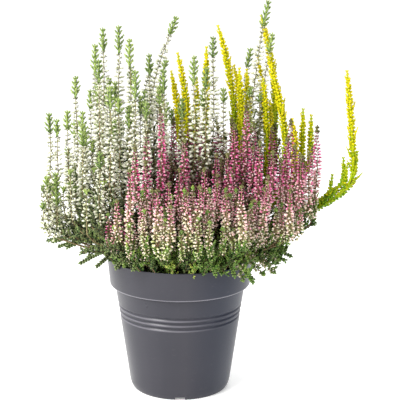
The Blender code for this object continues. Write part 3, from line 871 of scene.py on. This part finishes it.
def add_buds(growth, path, habit, top, bottom, petal_tone):
    """Pairs of buds down a spike, from a distance below its tip to another, with a small leaf under each.

    The youngest, below the tip, are small, green and well apart. The oldest, at the bottom, are smaller too.
    """
    pairs = 2 * max(1, round((bottom - top) / habit.pitch / 2))
    step = steps_of(pairs)
    whorl = step // 2
    count = len(step)
    below = top + (bottom - top) * (2 * whorl + 1 + growth.about(0.26, count)) / pairs
    stem, headings = path.stands(path.length - below)
    turns = turns_of(growth, step, 0.3) + whorl * 0.4
    grown = ease((below - top) / habit.young)
    old = ease((below - bottom + 16.0) / 16.0)
    rises = 0.75 - 0.72 * grown + growth.about(0.24, count)
    size = (0.48 + 0.52 * grown - 0.24 * old) * growth.within(0.86, 1.12, count)
    roots = stem + outward(headings, turns) * 0.75
    tone = petal_tone(roots[:, 2], grown)
    directions = outward(headings, turns, rises)
    lengths, widths = habit.bud_length * size, habit.bud_width * size
    growth.copies(habit.petal, habit.bud, roots, directions, lengths, widths, tone)
    rises = rises + growth.within(-0.75, -0.2, count)
    leaves = outward(headings, turns + growth.about(0.35, count), rises)
    length = growth.within(2.6, 3.8, count) * (1.15 - 0.25 * grown)
    growth.copies(habit.bract, LEAF, stem, leaves, length, habit.bract_width, tone)


def add_spike(growth, path, radii, bloom, habit, petal_tone):
    """A flowering spike: stem, leafy tip and buds."""
    add_stem(growth, path, radii, habit.stem_tone)
    tip_length = habit.tip_least + habit.tip_share * bloom * ease((bloom - 20.0) / 60.0)
    tip_length = tip_length * growth.within(0.8, 1.25)
    add_leafy_tip(growth, path, tip_length, habit, habit.leaf_tone + growth.within(-0.12, 0.12))
    add_buds(growth, path, habit, tip_length - 1.5, min(bloom, path.length - 4.0), petal_tone)


def add_foliage(growth, path, bottom, top, leafage):
    """Leafy side twigs up a stretch of stem, given as distances from its foot."""
    if top - bottom < 2 * leafage.spacing:
        return
    count = int((top - bottom) / leafage.spacing)
    distances = np.linspace(bottom, top, count) + growth.about(leafage.spacing / 3, count)
    turns = np.arange(count) * GOLDEN_TURN + growth.within(0, math.tau)
    roots, headings = path.stands(distances)
    directions = outward(headings, turns, growth.within(0.45, 0.95, count))
    directions = unit(directions + UP * leafage.lift)
    lengths = leafage.length * growth.within(0.6, 1.25, count)
    tones = leafage.tone + growth.about(0.09, count)
    add_twigs(growth, leafage.finish, roots, directions, lengths, UP * 0.3, tones, leafage.leaves)


def white_tone(heights, grown):
    """Creamy white, greener where young and at the foot."""
    return 0.25 + 0.5 * grown - 0.4 * ease((200.0 - heights) / 46.0)


# How much the tone of young pink buds differs, in high and in low spikes, and how much deeper the buds of
# trailing ones are
DUSKY = 0.26
GREENISH = -0.22
TRAILING_DEEPER = 0.06


def pink_tone(spray, young, deeper=0.0):
    """Deep pink above and behind, paling to cream low down, in front and at the right. Young buds differ by
    young."""
    lift = 0.19 * ease((spray.y + 90.0) / 70.0) - 0.18 * ease((spray.x - 80.0) / 30.0)

    def tone(heights, grown):
        return np.clip((heights - 142.0) / 110.0 + lift, 0.05, 0.64) + deeper + young * (1 - grown)

    return tone


def spray_sides(growth, spray, extra):
    """The spray's own side spike, and some lower ones turned away from it.

    At an outer spray they stand towards the middle of the plant, and the outermost at the left has none.
    """
    sides = [spray.side] if spray.side else []
    start = math.atan2(sides[0][1], sides[0][0]) if sides else growth.within(0, math.tau)
    if spray.x < -OUTER_SIDE:
        extra = 0
    for index in range(extra):
        turn = start + (index + 1) * math.tau / (extra + 1) + growth.about(0.3)
        reach = growth.within(8.0, 12.0)
        drop = growth.within(0.22, 0.42) * spray.bloom
        away = np.array((reach * math.cos(turn), reach * math.sin(turn)))
        if math.hypot(spray.x, spray.y) > OUTER_SPRAY and away @ (spray.x, spray.y) > 0:
            away = -away
        sides.append((*away, spray.tip - drop))
    return sides


def bloom_above(spray, habit):
    """How far a spray's buds go down. White ones stop above the sage skirt, except at its outer end."""
    lowest = 0.0
    if habit.petal is WHITE_PETAL:
        lowest = LOWEST_BUDS + 22.0 * ease((spray.x + 108.0) / 16.0)
    return min(spray.bloom, spray.tip - lowest)


def add_spray(growth, spray, habit, petal_tone):
    """A spray's main spike with twigs under its buds, and its side spikes, with twigs only at the right."""
    path = main_path(spray, growth, 1.2)
    bloom = bloom_above(spray, habit)
    add_spike(growth, path, MAIN_STEM, bloom, habit, petal_tone)
    add_foliage(growth, path, 8.0, path.length - BUDDED_SHARE * bloom, habit.foliage)
    for side in spray_sides(growth, spray, habit.extra):
        path = side_path(spray, side)
        side_bloom = max(24.0, min(bloom + side[-1] - spray.tip, path.length - 6.0))
        add_spike(growth, path, SIDE_STEM, side_bloom, habit, petal_tone)
        if spray.x > OUTER_SIDE:
            add_foliage(growth, path, 3.0, path.length - BUDDED_SHARE * side_bloom, habit.foliage)


def add_white_spray(growth, spray):
    add_spray(growth, spray, LEAFY_HABIT if spray.tip < LEAFY_BELOW else WHITE_HABIT, white_tone)


def add_pink_spray(growth, spray):
    add_spray(growth, spray, PINK_HABIT, pink_tone(spray, DUSKY))


def add_golden_spray(growth, spray):
    """A golden spray. The one that leans far out has paler spikes and short twigs that stand up from it."""
    full = ease((spray.bloom - 70.0) / 26.0)
    bright = 0.72 + 0.28 * full
    arching = spray.slow > 0
    add_golden_spike(growth, main_path(spray), GOLDEN_MAIN_STEM, spray.bloom, full, bright)
    if spray.side:
        path = side_path(spray, spray.side)
        bloom = min(spray.bloom, path.length - 4.0)
        bright = GOLDEN_PALER if arching else bright
        add_golden_spike(growth, path, GOLDEN_SIDE_STEM, bloom, full, bright)
    if arching:
        rise = np.linspace(0.0, 1.0, 12)[:, None]
        for height, length in GOLDEN_TWIGS:
            line = main_line(spray, np.full(12, height)) + rise * (UP * length + (3.0, 0.0, 0.0))
            add_golden_spike(growth, Path(line), GOLDEN_TWIG_STEM, 2.0 * length, 0.4, GOLDEN_PALER)


def add_golden_spike(growth, path, radii, bloom, full, brightness):
    """A golden shoot: a cone of blunt scales round a core, with short twigs like it that are held close.

    Below the bright part, the twigs grow longer and green. A full shoot has longer twigs than a slim one.
    """
    add_stem(growth, path, radii, GOLDEN_STEM_TONE)
    leafy = min(1.45 * bloom, path.length - 4.0)

    def tone_at(below):
        faded = 1.0 - 0.66 * ease(below / GOLDEN_FADE)
        return brightness * faded + growth.about(0.07, len(below))

    rings = np.linspace(leafy, 1.0, 12)
    core = path.at(path.length - rings)
    growth.tubes(GOLDEN_LEAF, core[None], (0.5 + 0.8 * ease(rings / 30.0))[None], 5, 0.5 * brightness)

    pairs = round(leafy / GOLDEN_SCALE_PITCH)
    step = steps_of(pairs)
    below = 0.4 + leafy * step / pairs
    roots, headings = path.stands(path.length - below)
    turns = turns_of(growth, step, 0.12)
    grown = ease(below / 24.0)
    directions = outward(headings, turns, 1.12 + growth.about(0.07, len(step)) - 0.12 * grown)
    size = (0.62 + 0.38 * grown) * growth.within(0.9, 1.1, len(step))
    roots = roots + outward(headings, turns) * (0.8 * grown)[:, None]
    lengths, widths = GOLDEN_SCALE_LENGTH * size, GOLDEN_SCALE_WIDTH * size
    growth.copies(GOLDEN_LEAF, SCALE, roots, directions, lengths, widths, tone_at(below))

    below = np.arange(8.0, leafy, GOLDEN_TWIG_PITCH)
    count = len(below)
    roots, headings = path.stands(path.length - below)
    turns = np.arange(count) * GOLDEN_TURN + growth.about(0.3, count)
    directions = outward(headings, turns, growth.within(1.0, 1.2, count))
    lengths = 3.2 + (2.6 + 3.0 * full) * ease(below / 60.0) + 3.0 * ease(below / bloom - 0.8)
    lengths = lengths * growth.within(0.75, 1.3, count)
    add_twigs(growth, GOLDEN_LEAF, roots, directions, lengths, UP * 0.35, tone_at(below), GOLDEN_LEAVES)


def out_at(angle):
    """The level direction at an angle round the pot, in degrees from the front."""
    turn = math.radians(angle)
    return np.array((math.sin(turn), -math.cos(turn), 0.0))


def shoot_end(shoot, spread=0.0, shorter=0.0, higher=0.0):
    return out_at(shoot.angle + spread) * (shoot.radius - shorter) + UP * (shoot.tip + higher)


def shoot_line(shoot, arch=None):
    """A green shoot's way out of the soil and over the rim, where an arch sets how high it is drawn."""
    start = out_at(shoot.angle) * SHOOT_FOOT_CIRCLE + UP * FAN_BOTTOM
    rising = start + UP * SHOOT_RISE
    above_rim = out_at(shoot.angle) * (RIM_RADIUS + SHOOT_CLEARANCE)
    above_rim = above_rim + UP * (arch or max(RIM_TOP, shoot.tip) + SHOOT_ARCH)
    share = np.linspace(0, 1, SHOOT_POINTS)[:, None]
    rest = 1 - share
    ends = rest**3 * start + share**3 * shoot_end(shoot)
    return ends + 3 * rest**2 * share * rising + 3 * rest * share**2 * above_rim


def add_green_shoot(growth, shoot):
    """A leafy shoot over the rim, with a side twig to each side that drifts off to its own end."""
    main = shoot_line(shoot)
    leafage, plain = (SKIRT_TWIGS, 20.0) if shoot.angle > 190.0 else (GREEN_SKIRT_TWIGS, 4.0)
    fork = round(SHOOT_FORK * len(main))
    share = np.linspace(0, 1, len(main) - fork)[:, None]
    twigs = [(np.vstack((main[0] - UP * 8.0, main)), SHOOT_STEM, 14.0)]
    for side, shorter, higher in SIDE_TWIGS:
        end = shoot_end(shoot, side * shoot.spread, shorter, higher)
        twigs.append((main[fork:] + (end - main[-1]) * share, SHOOT_TWIG_STEM, 3.0))
    for line, radii, bare in twigs:
        path = Path(line)
        add_stem(growth, path, radii, 0.5)
        add_scale_leaves(growth, path, bare, leafage.finish)
        add_foliage(growth, path, bare, path.length - plain, leafage)


def add_scale_leaves(growth, path, bare, finish):
    """Blunt scale leaves that sheathe a twig, in four rows."""
    pairs = round((path.length - bare) / SHEATH_PITCH)
    step = steps_of(pairs)
    count = len(step)
    distances = bare + (path.length - bare) * (step + 0.5) / pairs
    roots, headings = path.stands(distances)
    turns = turns_of(growth, step, 0.1)
    directions = outward(headings, turns, 1.05 + growth.about(0.08, count))
    tone = 0.26 + 0.16 * distances / path.length + growth.about(0.05, count)
    growth.copies(finish, BLUNT_LEAF, roots, directions, SHEATH_LENGTH, SHEATH_WIDTH, tone)


def collar_radius(height):
    return RIM_RADIUS - COLLAR_TAPER * (RIM_TOP - height)


def body_radius(height):
    return LEDGE_RADIUS - BODY_TAPER * (COLLAR_BOTTOM - height)


def rounded(corners):
    """A profile from (radius, height, rounding): each corner with a rounding becomes a short arc."""
    points = []
    for index, (radius, height, rounding) in enumerate(corners):
        corner = np.array((radius, height))
        if not rounding:
            points.append(corner)
            continue
        start, end = (
            corner + unit(arm) * min(rounding, 0.49 * np.linalg.norm(arm))
            for arm in (np.array(corners[index + way][:2]) - corner for way in (-1, 1))
        )
        for share in np.linspace(0, 1, 5):
            points.append((1 - share) ** 2 * start + 2 * share * (1 - share) * corner + share**2 * end)
    return points


def groove(height):
    """A soft groove round the pot, as corners of its profile."""
    top = height + GROOVE_HALF_WIDTH
    bottom = height - GROOVE_HALF_WIDTH
    return [
        (body_radius(top), top, 0.6),
        (body_radius(height) - GROOVE_DEPTH, height, 0.8),
        (body_radius(bottom), bottom, 0.6),
    ]


def pot_profile():
    """The pot's section, from the middle of its floor inside, over the rim, to the middle underneath."""
    ledge = COLLAR_BOTTOM + WALL
    return rounded([
        (0, FLOOR_TOP, 0),
        (body_radius(FLOOR_TOP) - WALL, FLOOR_TOP, 3.0),
        (body_radius(ledge) - WALL, ledge, 0.8),
        (collar_radius(ledge) - WALL, ledge + 0.6, 0.8),
        (RIM_RADIUS - WALL, RIM_TOP, 0.5),
        (RIM_RADIUS, RIM_TOP, 0.7),
        (collar_radius(COLLAR_BOTTOM), COLLAR_BOTTOM, 2.2),
        (LEDGE_RADIUS, COLLAR_BOTTOM, 0.9),
        *(corner for height in GROOVE_HEIGHTS for corner in groove(height)),
        (body_radius(BODY_BOTTOM), BODY_BOTTOM, 3.0),
        (FOOT_RADIUS + 1.2, FLOOR_UNDERSIDE - 0.6, 0.8),
        (FOOT_RADIUS, 0, 0.5),
        (FOOT_RADIUS - FOOT_WIDTH, 0, 0.5),
        (FOOT_RADIUS - FOOT_WIDTH - 0.2, FLOOR_UNDERSIDE, 0.5),
        (PAD_RADIUS + 0.2, FLOOR_UNDERSIDE, 0.5),
        (PAD_RADIUS, 0, 0.4),
        (0, 0, 0),
    ])


def bmesh_object(name, bm):
    """The bmesh, drawn in millimetres, as an object in metres."""
    bmesh.ops.scale(bm, vec=(MM, MM, MM), verts=bm.verts)
    mesh = bpy.data.meshes.new(name)
    bm.to_mesh(mesh)
    bm.free()
    obj = bpy.data.objects.new(name, mesh)
    bpy.context.scene.collection.objects.link(obj)
    return obj


def apply_modifiers(obj):
    graph = bpy.context.evaluated_depsgraph_get()
    finished = bpy.data.meshes.new_from_object(obj.evaluated_get(graph))
    finished.materials.clear()
    obj.modifiers.clear()
    obj.data = finished


def turned(name, profile):
    """A solid turned from a profile that runs down its outer side."""
    bm = bmesh.new()
    points = [bm.verts.new((radius, 0, height)) for radius, height in profile]
    for upper, lower in zip(points, points[1:]):
        bm.edges.new((upper, lower))
    obj = bmesh_object(name, bm)
    screw = obj.modifiers.new("Turn", "SCREW")
    screw.steps = screw.render_steps = TURNED_STEPS
    screw.use_merge_vertices = True
    screw.merge_threshold = 0.00001
    apply_modifiers(obj)
    return obj


def put(bm, verts, place, share):
    """Moves part of a cutter to its place, and then a share of a turn round the pot."""
    bmesh.ops.translate(bm, vec=place, verts=verts)
    bmesh.ops.rotate(bm, matrix=Matrix.Rotation(math.tau * share, 3, "Z"), verts=verts)


def make_pot():
    """The pot, with drainage holes in its floor and notches in its foot ring."""
    pot = turned("nursery_pot", pot_profile())
    bm = bmesh.new()
    for index in range(NOTCH_COUNT):
        cube = bmesh.ops.create_cube(bm, size=1.0)["verts"]
        bmesh.ops.scale(bm, vec=(NOTCH_WIDTH, 4 * FOOT_WIDTH, 2 * NOTCH_HEIGHT), verts=cube)
        put(bm, cube, (0, FOOT_WIDTH / 2 - FOOT_RADIUS, 0), index / NOTCH_COUNT)
    sizes = {"radius1": DRAIN_RADIUS, "radius2": DRAIN_RADIUS, "depth": 4 * FLOOR_TOP}
    for index in range(DRAIN_COUNT):
        rod = bmesh.ops.create_cone(bm, cap_ends=True, segments=DRAIN_SIDES, **sizes)["verts"]
        put(bm, rod, (0, DRAIN_CIRCLE, 0), (index + 0.5) / DRAIN_COUNT)
    cutter = bmesh_object("pot_cutter", bm)
    cut = pot.modifiers.new("Cut", "BOOLEAN")
    cut.operation = "DIFFERENCE"
    cut.object = cutter
    apply_modifiers(pot)
    bpy.data.objects.remove(cutter)
    dressed(pot, [plastic_finish()], ["pot"])
    pot.data.set_sharp_from_angle(angle=math.radians(SHARP_ANGLE))


def soil_height(radius):
    """The potting mix is domed, and sinks at its edge."""
    return SOIL_TOP + SOIL_DOME * (1 - (radius / SOIL_EDGE) ** 2) - 2.0 * ease((radius - 48.0) / 14.0)


def make_soil():
    """The potting mix: a lumpy surface over a plain body that fills the pot."""
    random = np.random.default_rng(7)
    ledge = COLLAR_BOTTOM + WALL
    rings = (0.0, *np.arange(SOIL_RING, SOIL_EDGE, SOIL_RING), SOIL_EDGE)
    soil = turned("potting_mix_surface", [(radius, soil_height(radius)) for radius in rings] + [
        (collar_radius(ledge) - WALL - 1.2, ledge + 1.0),
        (body_radius(ledge) - WALL - 0.3, ledge),
        (body_radius(8.0) - WALL - 0.3, 8.0),
        (body_radius(FLOOR_TOP) - WALL - 3.4, FLOOR_TOP + 0.3),
        (0, FLOOR_TOP + 0.3),
    ])
    points = np.empty(len(soil.data.vertices) * 3, np.float32)
    soil.data.vertices.foreach_get("co", points)
    points = points.reshape(-1, 3)
    radius = np.linalg.norm(points[:, :2], axis=1) / MM
    on_top = (points[:, 2] > (SOIL_TOP - 4.0) * MM) & (radius < SOIL_EDGE - 0.5)
    waves = np.zeros(len(points))
    for scale, size in SOIL_WAVES:
        phases = random.uniform(0, math.tau, 2)
        turn = random.uniform(0, math.pi)
        x = points[:, 0] * math.cos(turn) + points[:, 1] * math.sin(turn)
        y = points[:, 1] * math.cos(turn) - points[:, 0] * math.sin(turn)
        waves += size * np.sin(scale * x + phases[0]) * np.sin(scale * 1.17 * y + phases[1])
    points[:, 2] += np.where(on_top, waves + random.normal(0, 0.22, len(points)), 0.0) * MM
    soil.data.vertices.foreach_set("co", points.reshape(-1))
    dressed(soil, [soil_finish()], ["potting_mix"])


def add_crumbs(growth):
    """Loose crumbs of peat and bark that lie on the potting mix."""
    count = CRUMB_COUNT
    radius = (SOIL_EDGE - 2.5) * np.sqrt(growth.random.random(count))
    turns = growth.within(0, math.tau, count)
    roots = np.stack((radius * np.cos(turns), radius * np.sin(turns), soil_height(radius) - 0.5), axis=-1)
    directions = unit(growth.about(1, (count, 3)) * np.array((1, 1, 0.35)))
    lengths = growth.within(1.6, 5.2, count)
    widths = lengths * growth.within(0.35, 0.9, count)
    growth.copies(CRUMBS, CRUMB, roots, directions, lengths, widths, 0.5)


def add_inner_foliage(growth):
    """Leafy shoots without flowers that stand among the sprays, lower than them, in the same fan."""
    for index in range(INNER_SHOOTS):
        share = math.sqrt((index + 0.5) / INNER_SHOOTS)
        turn = index * GOLDEN_TURN
        x = INNER_MIDDLE[0] + INNER_REACH[0] * share * math.cos(turn)
        y = INNER_MIDDLE[1] + INNER_REACH[1] * share * math.sin(turn)
        tip = INNER_EDGE_TIP + INNER_TIP_RISE * (1 - share**5) + growth.within(-12, 8)
        path = main_path(Spray(x, y, tip, 60))
        add_stem(growth, path, INNER_STEM, 0.3)
        # The shoots are real leafy growth; their very dark green tones are painted shade.
        twigs = DEEP_TWIGS._replace(tone=growth.within(0.10, 0.28), length=18.0 - 8.0 * share**2)
        top = path.length - 2.0
        # Painted shade: in the corner, their upper halves are near-black maroon.
        if x > INNER_SHADED_FROM and y < INNER_SHADED_TO:
            dusky = twigs._replace(finish=PINK_BRACT, tone=0.8)
            add_foliage(growth, path, 0.5 * path.length, top, dusky)
            top = 0.5 * path.length
        add_foliage(growth, path, 8.0, top, twigs)


def add_rim_foliage(growth):
    """Short bright leafy shoots that come out of the soil at the edge and lean out to the rim."""
    share = np.linspace(0, 1, 16)[:, None]
    for index in range(RIM_SHOOTS):
        turn = math.tau * (index + growth.within(0, 0.8)) / RIM_SHOOTS
        away = np.array((math.cos(turn), math.sin(turn), 0.0))
        if index % 2:
            root = away * growth.within(44.0, 58.0)
            tall = growth.within(24.0, 44.0)
            out = tall * growth.within(0.55, 1.15)
            line = root + UP * tall * share + away * out * share**1.6
        else:
            root = away * growth.within(54.0, 57.0)
            out = growth.within(14.0, 22.0)
            line = root + UP * 22.0 * share * (2 - share) + away * out * share
        path = Path(line + UP * (SOIL_TOP - 2.0))
        add_stem(growth, path, RIM_STEM, 0.4)
        twigs = RIM_TWIGS._replace(tone=growth.within(0.14, 0.78))
        add_foliage(growth, path, 6.0, path.length - 1.0, twigs)


def add_low_spikes(growth):
    """Short flowering spikes of the pink heather, which lean out low over the rim and then stand up."""
    for index in range(LOW_SPIKES):
        row = index % 2
        angle = LOW_FROM + (LOW_TO - LOW_FROM) * (index + 0.5) / LOW_SPIKES + growth.about(2.0)
        side = ease((angle - 40.0) / 50.0)
        radius = LOW_REACH + 10.0 * row + 22.0 * side + growth.within(-4.0, 4.0)
        tip = LOW_TIP - 16.0 * row - 6.0 * side + growth.within(-13.0, 13.0)
        bloom = tip - LOWEST_BUDS + 8.0 * ease((angle - 40.0) / 20.0) + growth.within(-6.0, 6.0)
        x, y, _ = out_at(angle) * radius
        spray = Spray(x, y, tip, bloom, slow=-30)
        path = main_path(spray, growth, 1.0)
        dusky = 0.30 * ease((-18.0 - angle) / 16.0)
        add_spike(growth, path, LOW_STEM, bloom, LOW_HABIT, pink_tone(spray, GREENISH, dusky))
        add_foliage(growth, path, 10.0, path.length - 0.8 * bloom, LOW_BASE)


def add_filling(growth, filling, habit, deeper=0.0):
    """Spikes that stand among the others and fill the plant."""
    left, right = filling.x
    front, back = filling.y
    for index in range(filling.count):
        x = left + (right - left) * (index + 0.5) / filling.count + growth.within(-3.0, 3.0)
        y = front + (back - front) * ((index * GOLDEN_TURN) % 1.0)
        tip = filling.tip - filling.lower * ((index * 0.382) % 1.0) * growth.within(0.8, 1.0)
        spray = Spray(x, y, tip, filling.bloom, slow=-15)
        path = main_path(spray, growth, 1.0)
        tone = white_tone if habit.petal is WHITE_PETAL else pink_tone(spray, DUSKY, deeper)
        add_spike(growth, path, FILLING_STEM, bloom_above(spray, habit), habit, tone)


def add_golden_filling(growth):
    """The slim golden spikes that only the looks have."""
    for spray in GOLDEN_FILLING:
        add_golden_spike(growth, main_path(spray), GOLDEN_FILLING_STEM, spray.bloom, 0.6, 0.88)


def spread_shoots(growth, plumes):
    """Shoots spread between two angles, of mixed reach and height."""
    near, far = plumes.reach
    low, high = plumes.tip
    shoots = []
    for index in range(plumes.count):
        angle = plumes.start + (plumes.stop - plumes.start) * (index + 0.5) / plumes.count
        radius = near + (far - near) * ((index * 0.618) % 1.0)
        tip = low + (high - low) * ((index * 0.382) % 1.0)
        shoots.append(Shoot(angle + growth.about(2.0), radius, tip))
    return shoots


def add_plumes(growth, plumes, leafage):
    """Leafy shoots that lean far out over the rim under the flowers."""
    for shoot in spread_shoots(growth, plumes):
        path = Path(wavy(growth, shoot_line(shoot, PLUME_ARCH), 1.5))
        add_stem(growth, path, PLUME_STEM, 0.4)
        twigs = leafage._replace(tone=leafage.tone + growth.within(-0.16, 0.10))
        add_foliage(growth, path, 14.0, path.length - 1.0, twigs)


def add_trailing_spikes(growth, plumes):
    """Short spikes of the pink heather with creamy buds, which hang over the rim."""
    for shoot in spread_shoots(growth, plumes):
        path = Path(wavy(growth, shoot_line(shoot), 1.0))
        tone = pink_tone(Spray(*path.points[-1], TRAILING_BLOOM), GREENISH / 3, TRAILING_DEEPER)
        add_spike(growth, path, LOW_STEM, TRAILING_BLOOM, TRAILING_HABIT, tone)
        add_foliage(growth, path, 12.0, path.length - 3.0, TRAILING_TWIGS)


FLOOR_REACH = 30000.0


def make_stage():
    """A pale floor far wider than the view."""
    bm = bmesh.new()
    bmesh.ops.create_grid(bm, x_segments=2, y_segments=2, size=FLOOR_REACH)
    floor = bmesh_object("studio_floor", bm)
    floor.data.materials.append(floor_finish())


# The studio's lights: where each stands, the height that it aims at over the middle of the pot, its size,
# power and colour. The room itself is brighter towards a window.
Light = namedtuple("Light", "place aim size power colour", defaults=((1.0, 1.0, 1.0),))
LIGHTS = {
    "key_light": Light((-1.0, -1.0, 1.1), 0.2, 0.85, 34.0, (1.0, 0.985, 0.96)),
    "fill_light": Light((1.1, -0.8, 0.8), 0.18, 0.9, 2.5),
    "back_light": Light((0.4, 1.2, 1.2), 0.2, 0.9, 8.0),
}
WINDOW_SIDE = (-0.72, 0.40, 0.56)


def make_lights():
    """A bright room, three round soft lights, and colours shown plainly."""
    world = bpy.data.worlds.new("soft_studio")
    world.use_nodes = True
    room = Nodes(world.node_tree)
    direction = room.node("TexCoord", output="Generated")
    towards_window = room.node("VectorMath", {"operation": "DOT_PRODUCT"}, {0: direction, 1: WINDOW_SIDE})
    background = room.tree.nodes["Background"]
    background.inputs["Color"].default_value = WHITE
    room.feed(background.inputs["Strength"], room.between(towards_window, -0.7, 0.5, 0.22, 1.05))
    bpy.context.scene.world = world
    for name, light in LIGHTS.items():
        lamp = bpy.data.lights.new(name, "AREA")
        lamp.shape = "DISK"
        lamp.size = light.size
        lamp.energy = light.power
        lamp.color = light.colour
        obj = bpy.data.objects.new(name, lamp)
        obj.location = light.place
        x, y, z = np.array((0.0, 0.0, light.aim)) - light.place
        obj.rotation_euler = (math.atan2(math.hypot(x, y), -z), 0.0, math.atan2(y, x) - math.pi / 2)
        bpy.context.scene.collection.objects.link(obj)
    bpy.context.scene.view_settings.view_transform = "Standard"


CAMERA_SENSOR = 36.0
CAMERA_LENS = 93.6
CAMERA_SHIFT = 0.05
CAMERA_PLACE = (0.0, -0.9, 0.36)
CAMERA_TILT = 78.1


def make_camera():
    """The photo's view: just above the plant, looking a little down."""
    camera = bpy.data.cameras.new("camera")
    camera.sensor_width = CAMERA_SENSOR
    camera.lens = CAMERA_LENS
    camera.shift_x = CAMERA_SHIFT
    obj = bpy.data.objects.new("camera", camera)
    obj.location = CAMERA_PLACE
    obj.rotation_euler = (math.radians(CAMERA_TILT), 0.0, 0.0)
    bpy.context.scene.collection.objects.link(obj)
    bpy.context.scene.camera = obj


def grow(name, slot, seed, method, *details, nodes=()):
    """A piece grown in one way from its own seed, which stands for nodes of the frame."""
    growth = Growth(seed)
    method(growth, *details)
    growth.piece(name, slot, nodes)


# Growth that only the looks have: its name, slot and seed, how it grows, and the details of that.
FINE_GROWTH = (
    ("bark_crumbs", "potting_mix", 11, add_crumbs),
    ("inner_foliage", "green_leaf", 31, add_inner_foliage),
    ("rim_foliage", "green_leaf", 41, add_rim_foliage),
    ("low_pink_heather", "pink_bloom", 51, add_low_spikes),
    ("inner_pink_heather", "pink_bloom", 61, add_filling, PINK_FILLING, FILLING_HABIT),
    ("dusky_pink_heather", "pink_bloom", 65, add_filling, DUSKY_FILLING, FILLING_HABIT, 0.1),
    ("middle_pink_heather", "pink_bloom", 67, add_filling, PINK_MIDDLE_FILLING, FILLING_HABIT),
    ("right_pink_heather", "pink_bloom", 66, add_filling, PINK_RIGHT_FILLING, FILLING_HABIT),
    ("inner_white_heather", "white_bloom", 62, add_filling, WHITE_FILLING, INNER_HABIT),
    ("far_white_heather", "white_bloom", 68, add_filling, WHITE_FAR_FILLING, INNER_HABIT),
    ("back_white_heather", "white_bloom", 63, add_filling, WHITE_BACK_FILLING, BACK_HABIT),
    ("edge_white_heather", "white_bloom", 64, add_filling, WHITE_EDGE_FILLING, INNER_HABIT),
    ("inner_golden_heather", "yellow_leaf", 81, add_golden_filling),
    ("sage_plumes", "green_leaf", 71, add_plumes, SAGE_PLUMES, SAGE_PLUME_TWIGS),
    ("green_plumes", "green_leaf", 72, add_plumes, GREEN_PLUMES, GREEN_PLUME_TWIGS),
    ("trailing_pink_heather", "pink_bloom", 55, add_trailing_spikes, TRAILING_SPIKES),
    ("corner_pink_heather", "pink_bloom", 56, add_trailing_spikes, CORNER_SPIKES),
)
# What stands for the frame's sprays and shoots: the names of the pieces and of the nodes, the slot, the seed
# before the first, how each grows, and the table of them.
PLANTS = (
    ("white_heather", "white_spray", "white_bloom", 100, add_white_spray, WHITE_SPRAYS),
    ("pink_heather", "pink_spray", "pink_bloom", 200, add_pink_spray, PINK_SPRAYS),
    ("golden_heather", "yellow_spray", "yellow_leaf", 300, add_golden_spray, YELLOW_SPRAYS),
    ("green_skirt", "green_shoot", "green_leaf", 400, add_green_shoot, GREEN_SHOOTS),
)

make_camera()
make_lights()
make_stage()
make_pot()
make_soil()
for fine_growth in FINE_GROWTH:
    grow(*fine_growth)
for piece, node, slot, seed, method, plants in PLANTS:
    for number, plant in enumerate(plants, 1):
        nodes = [f"{node}_{number:02d}"]
        grow(f"{piece}_{number:02d}", slot, seed + number, method, plant, nodes=nodes)
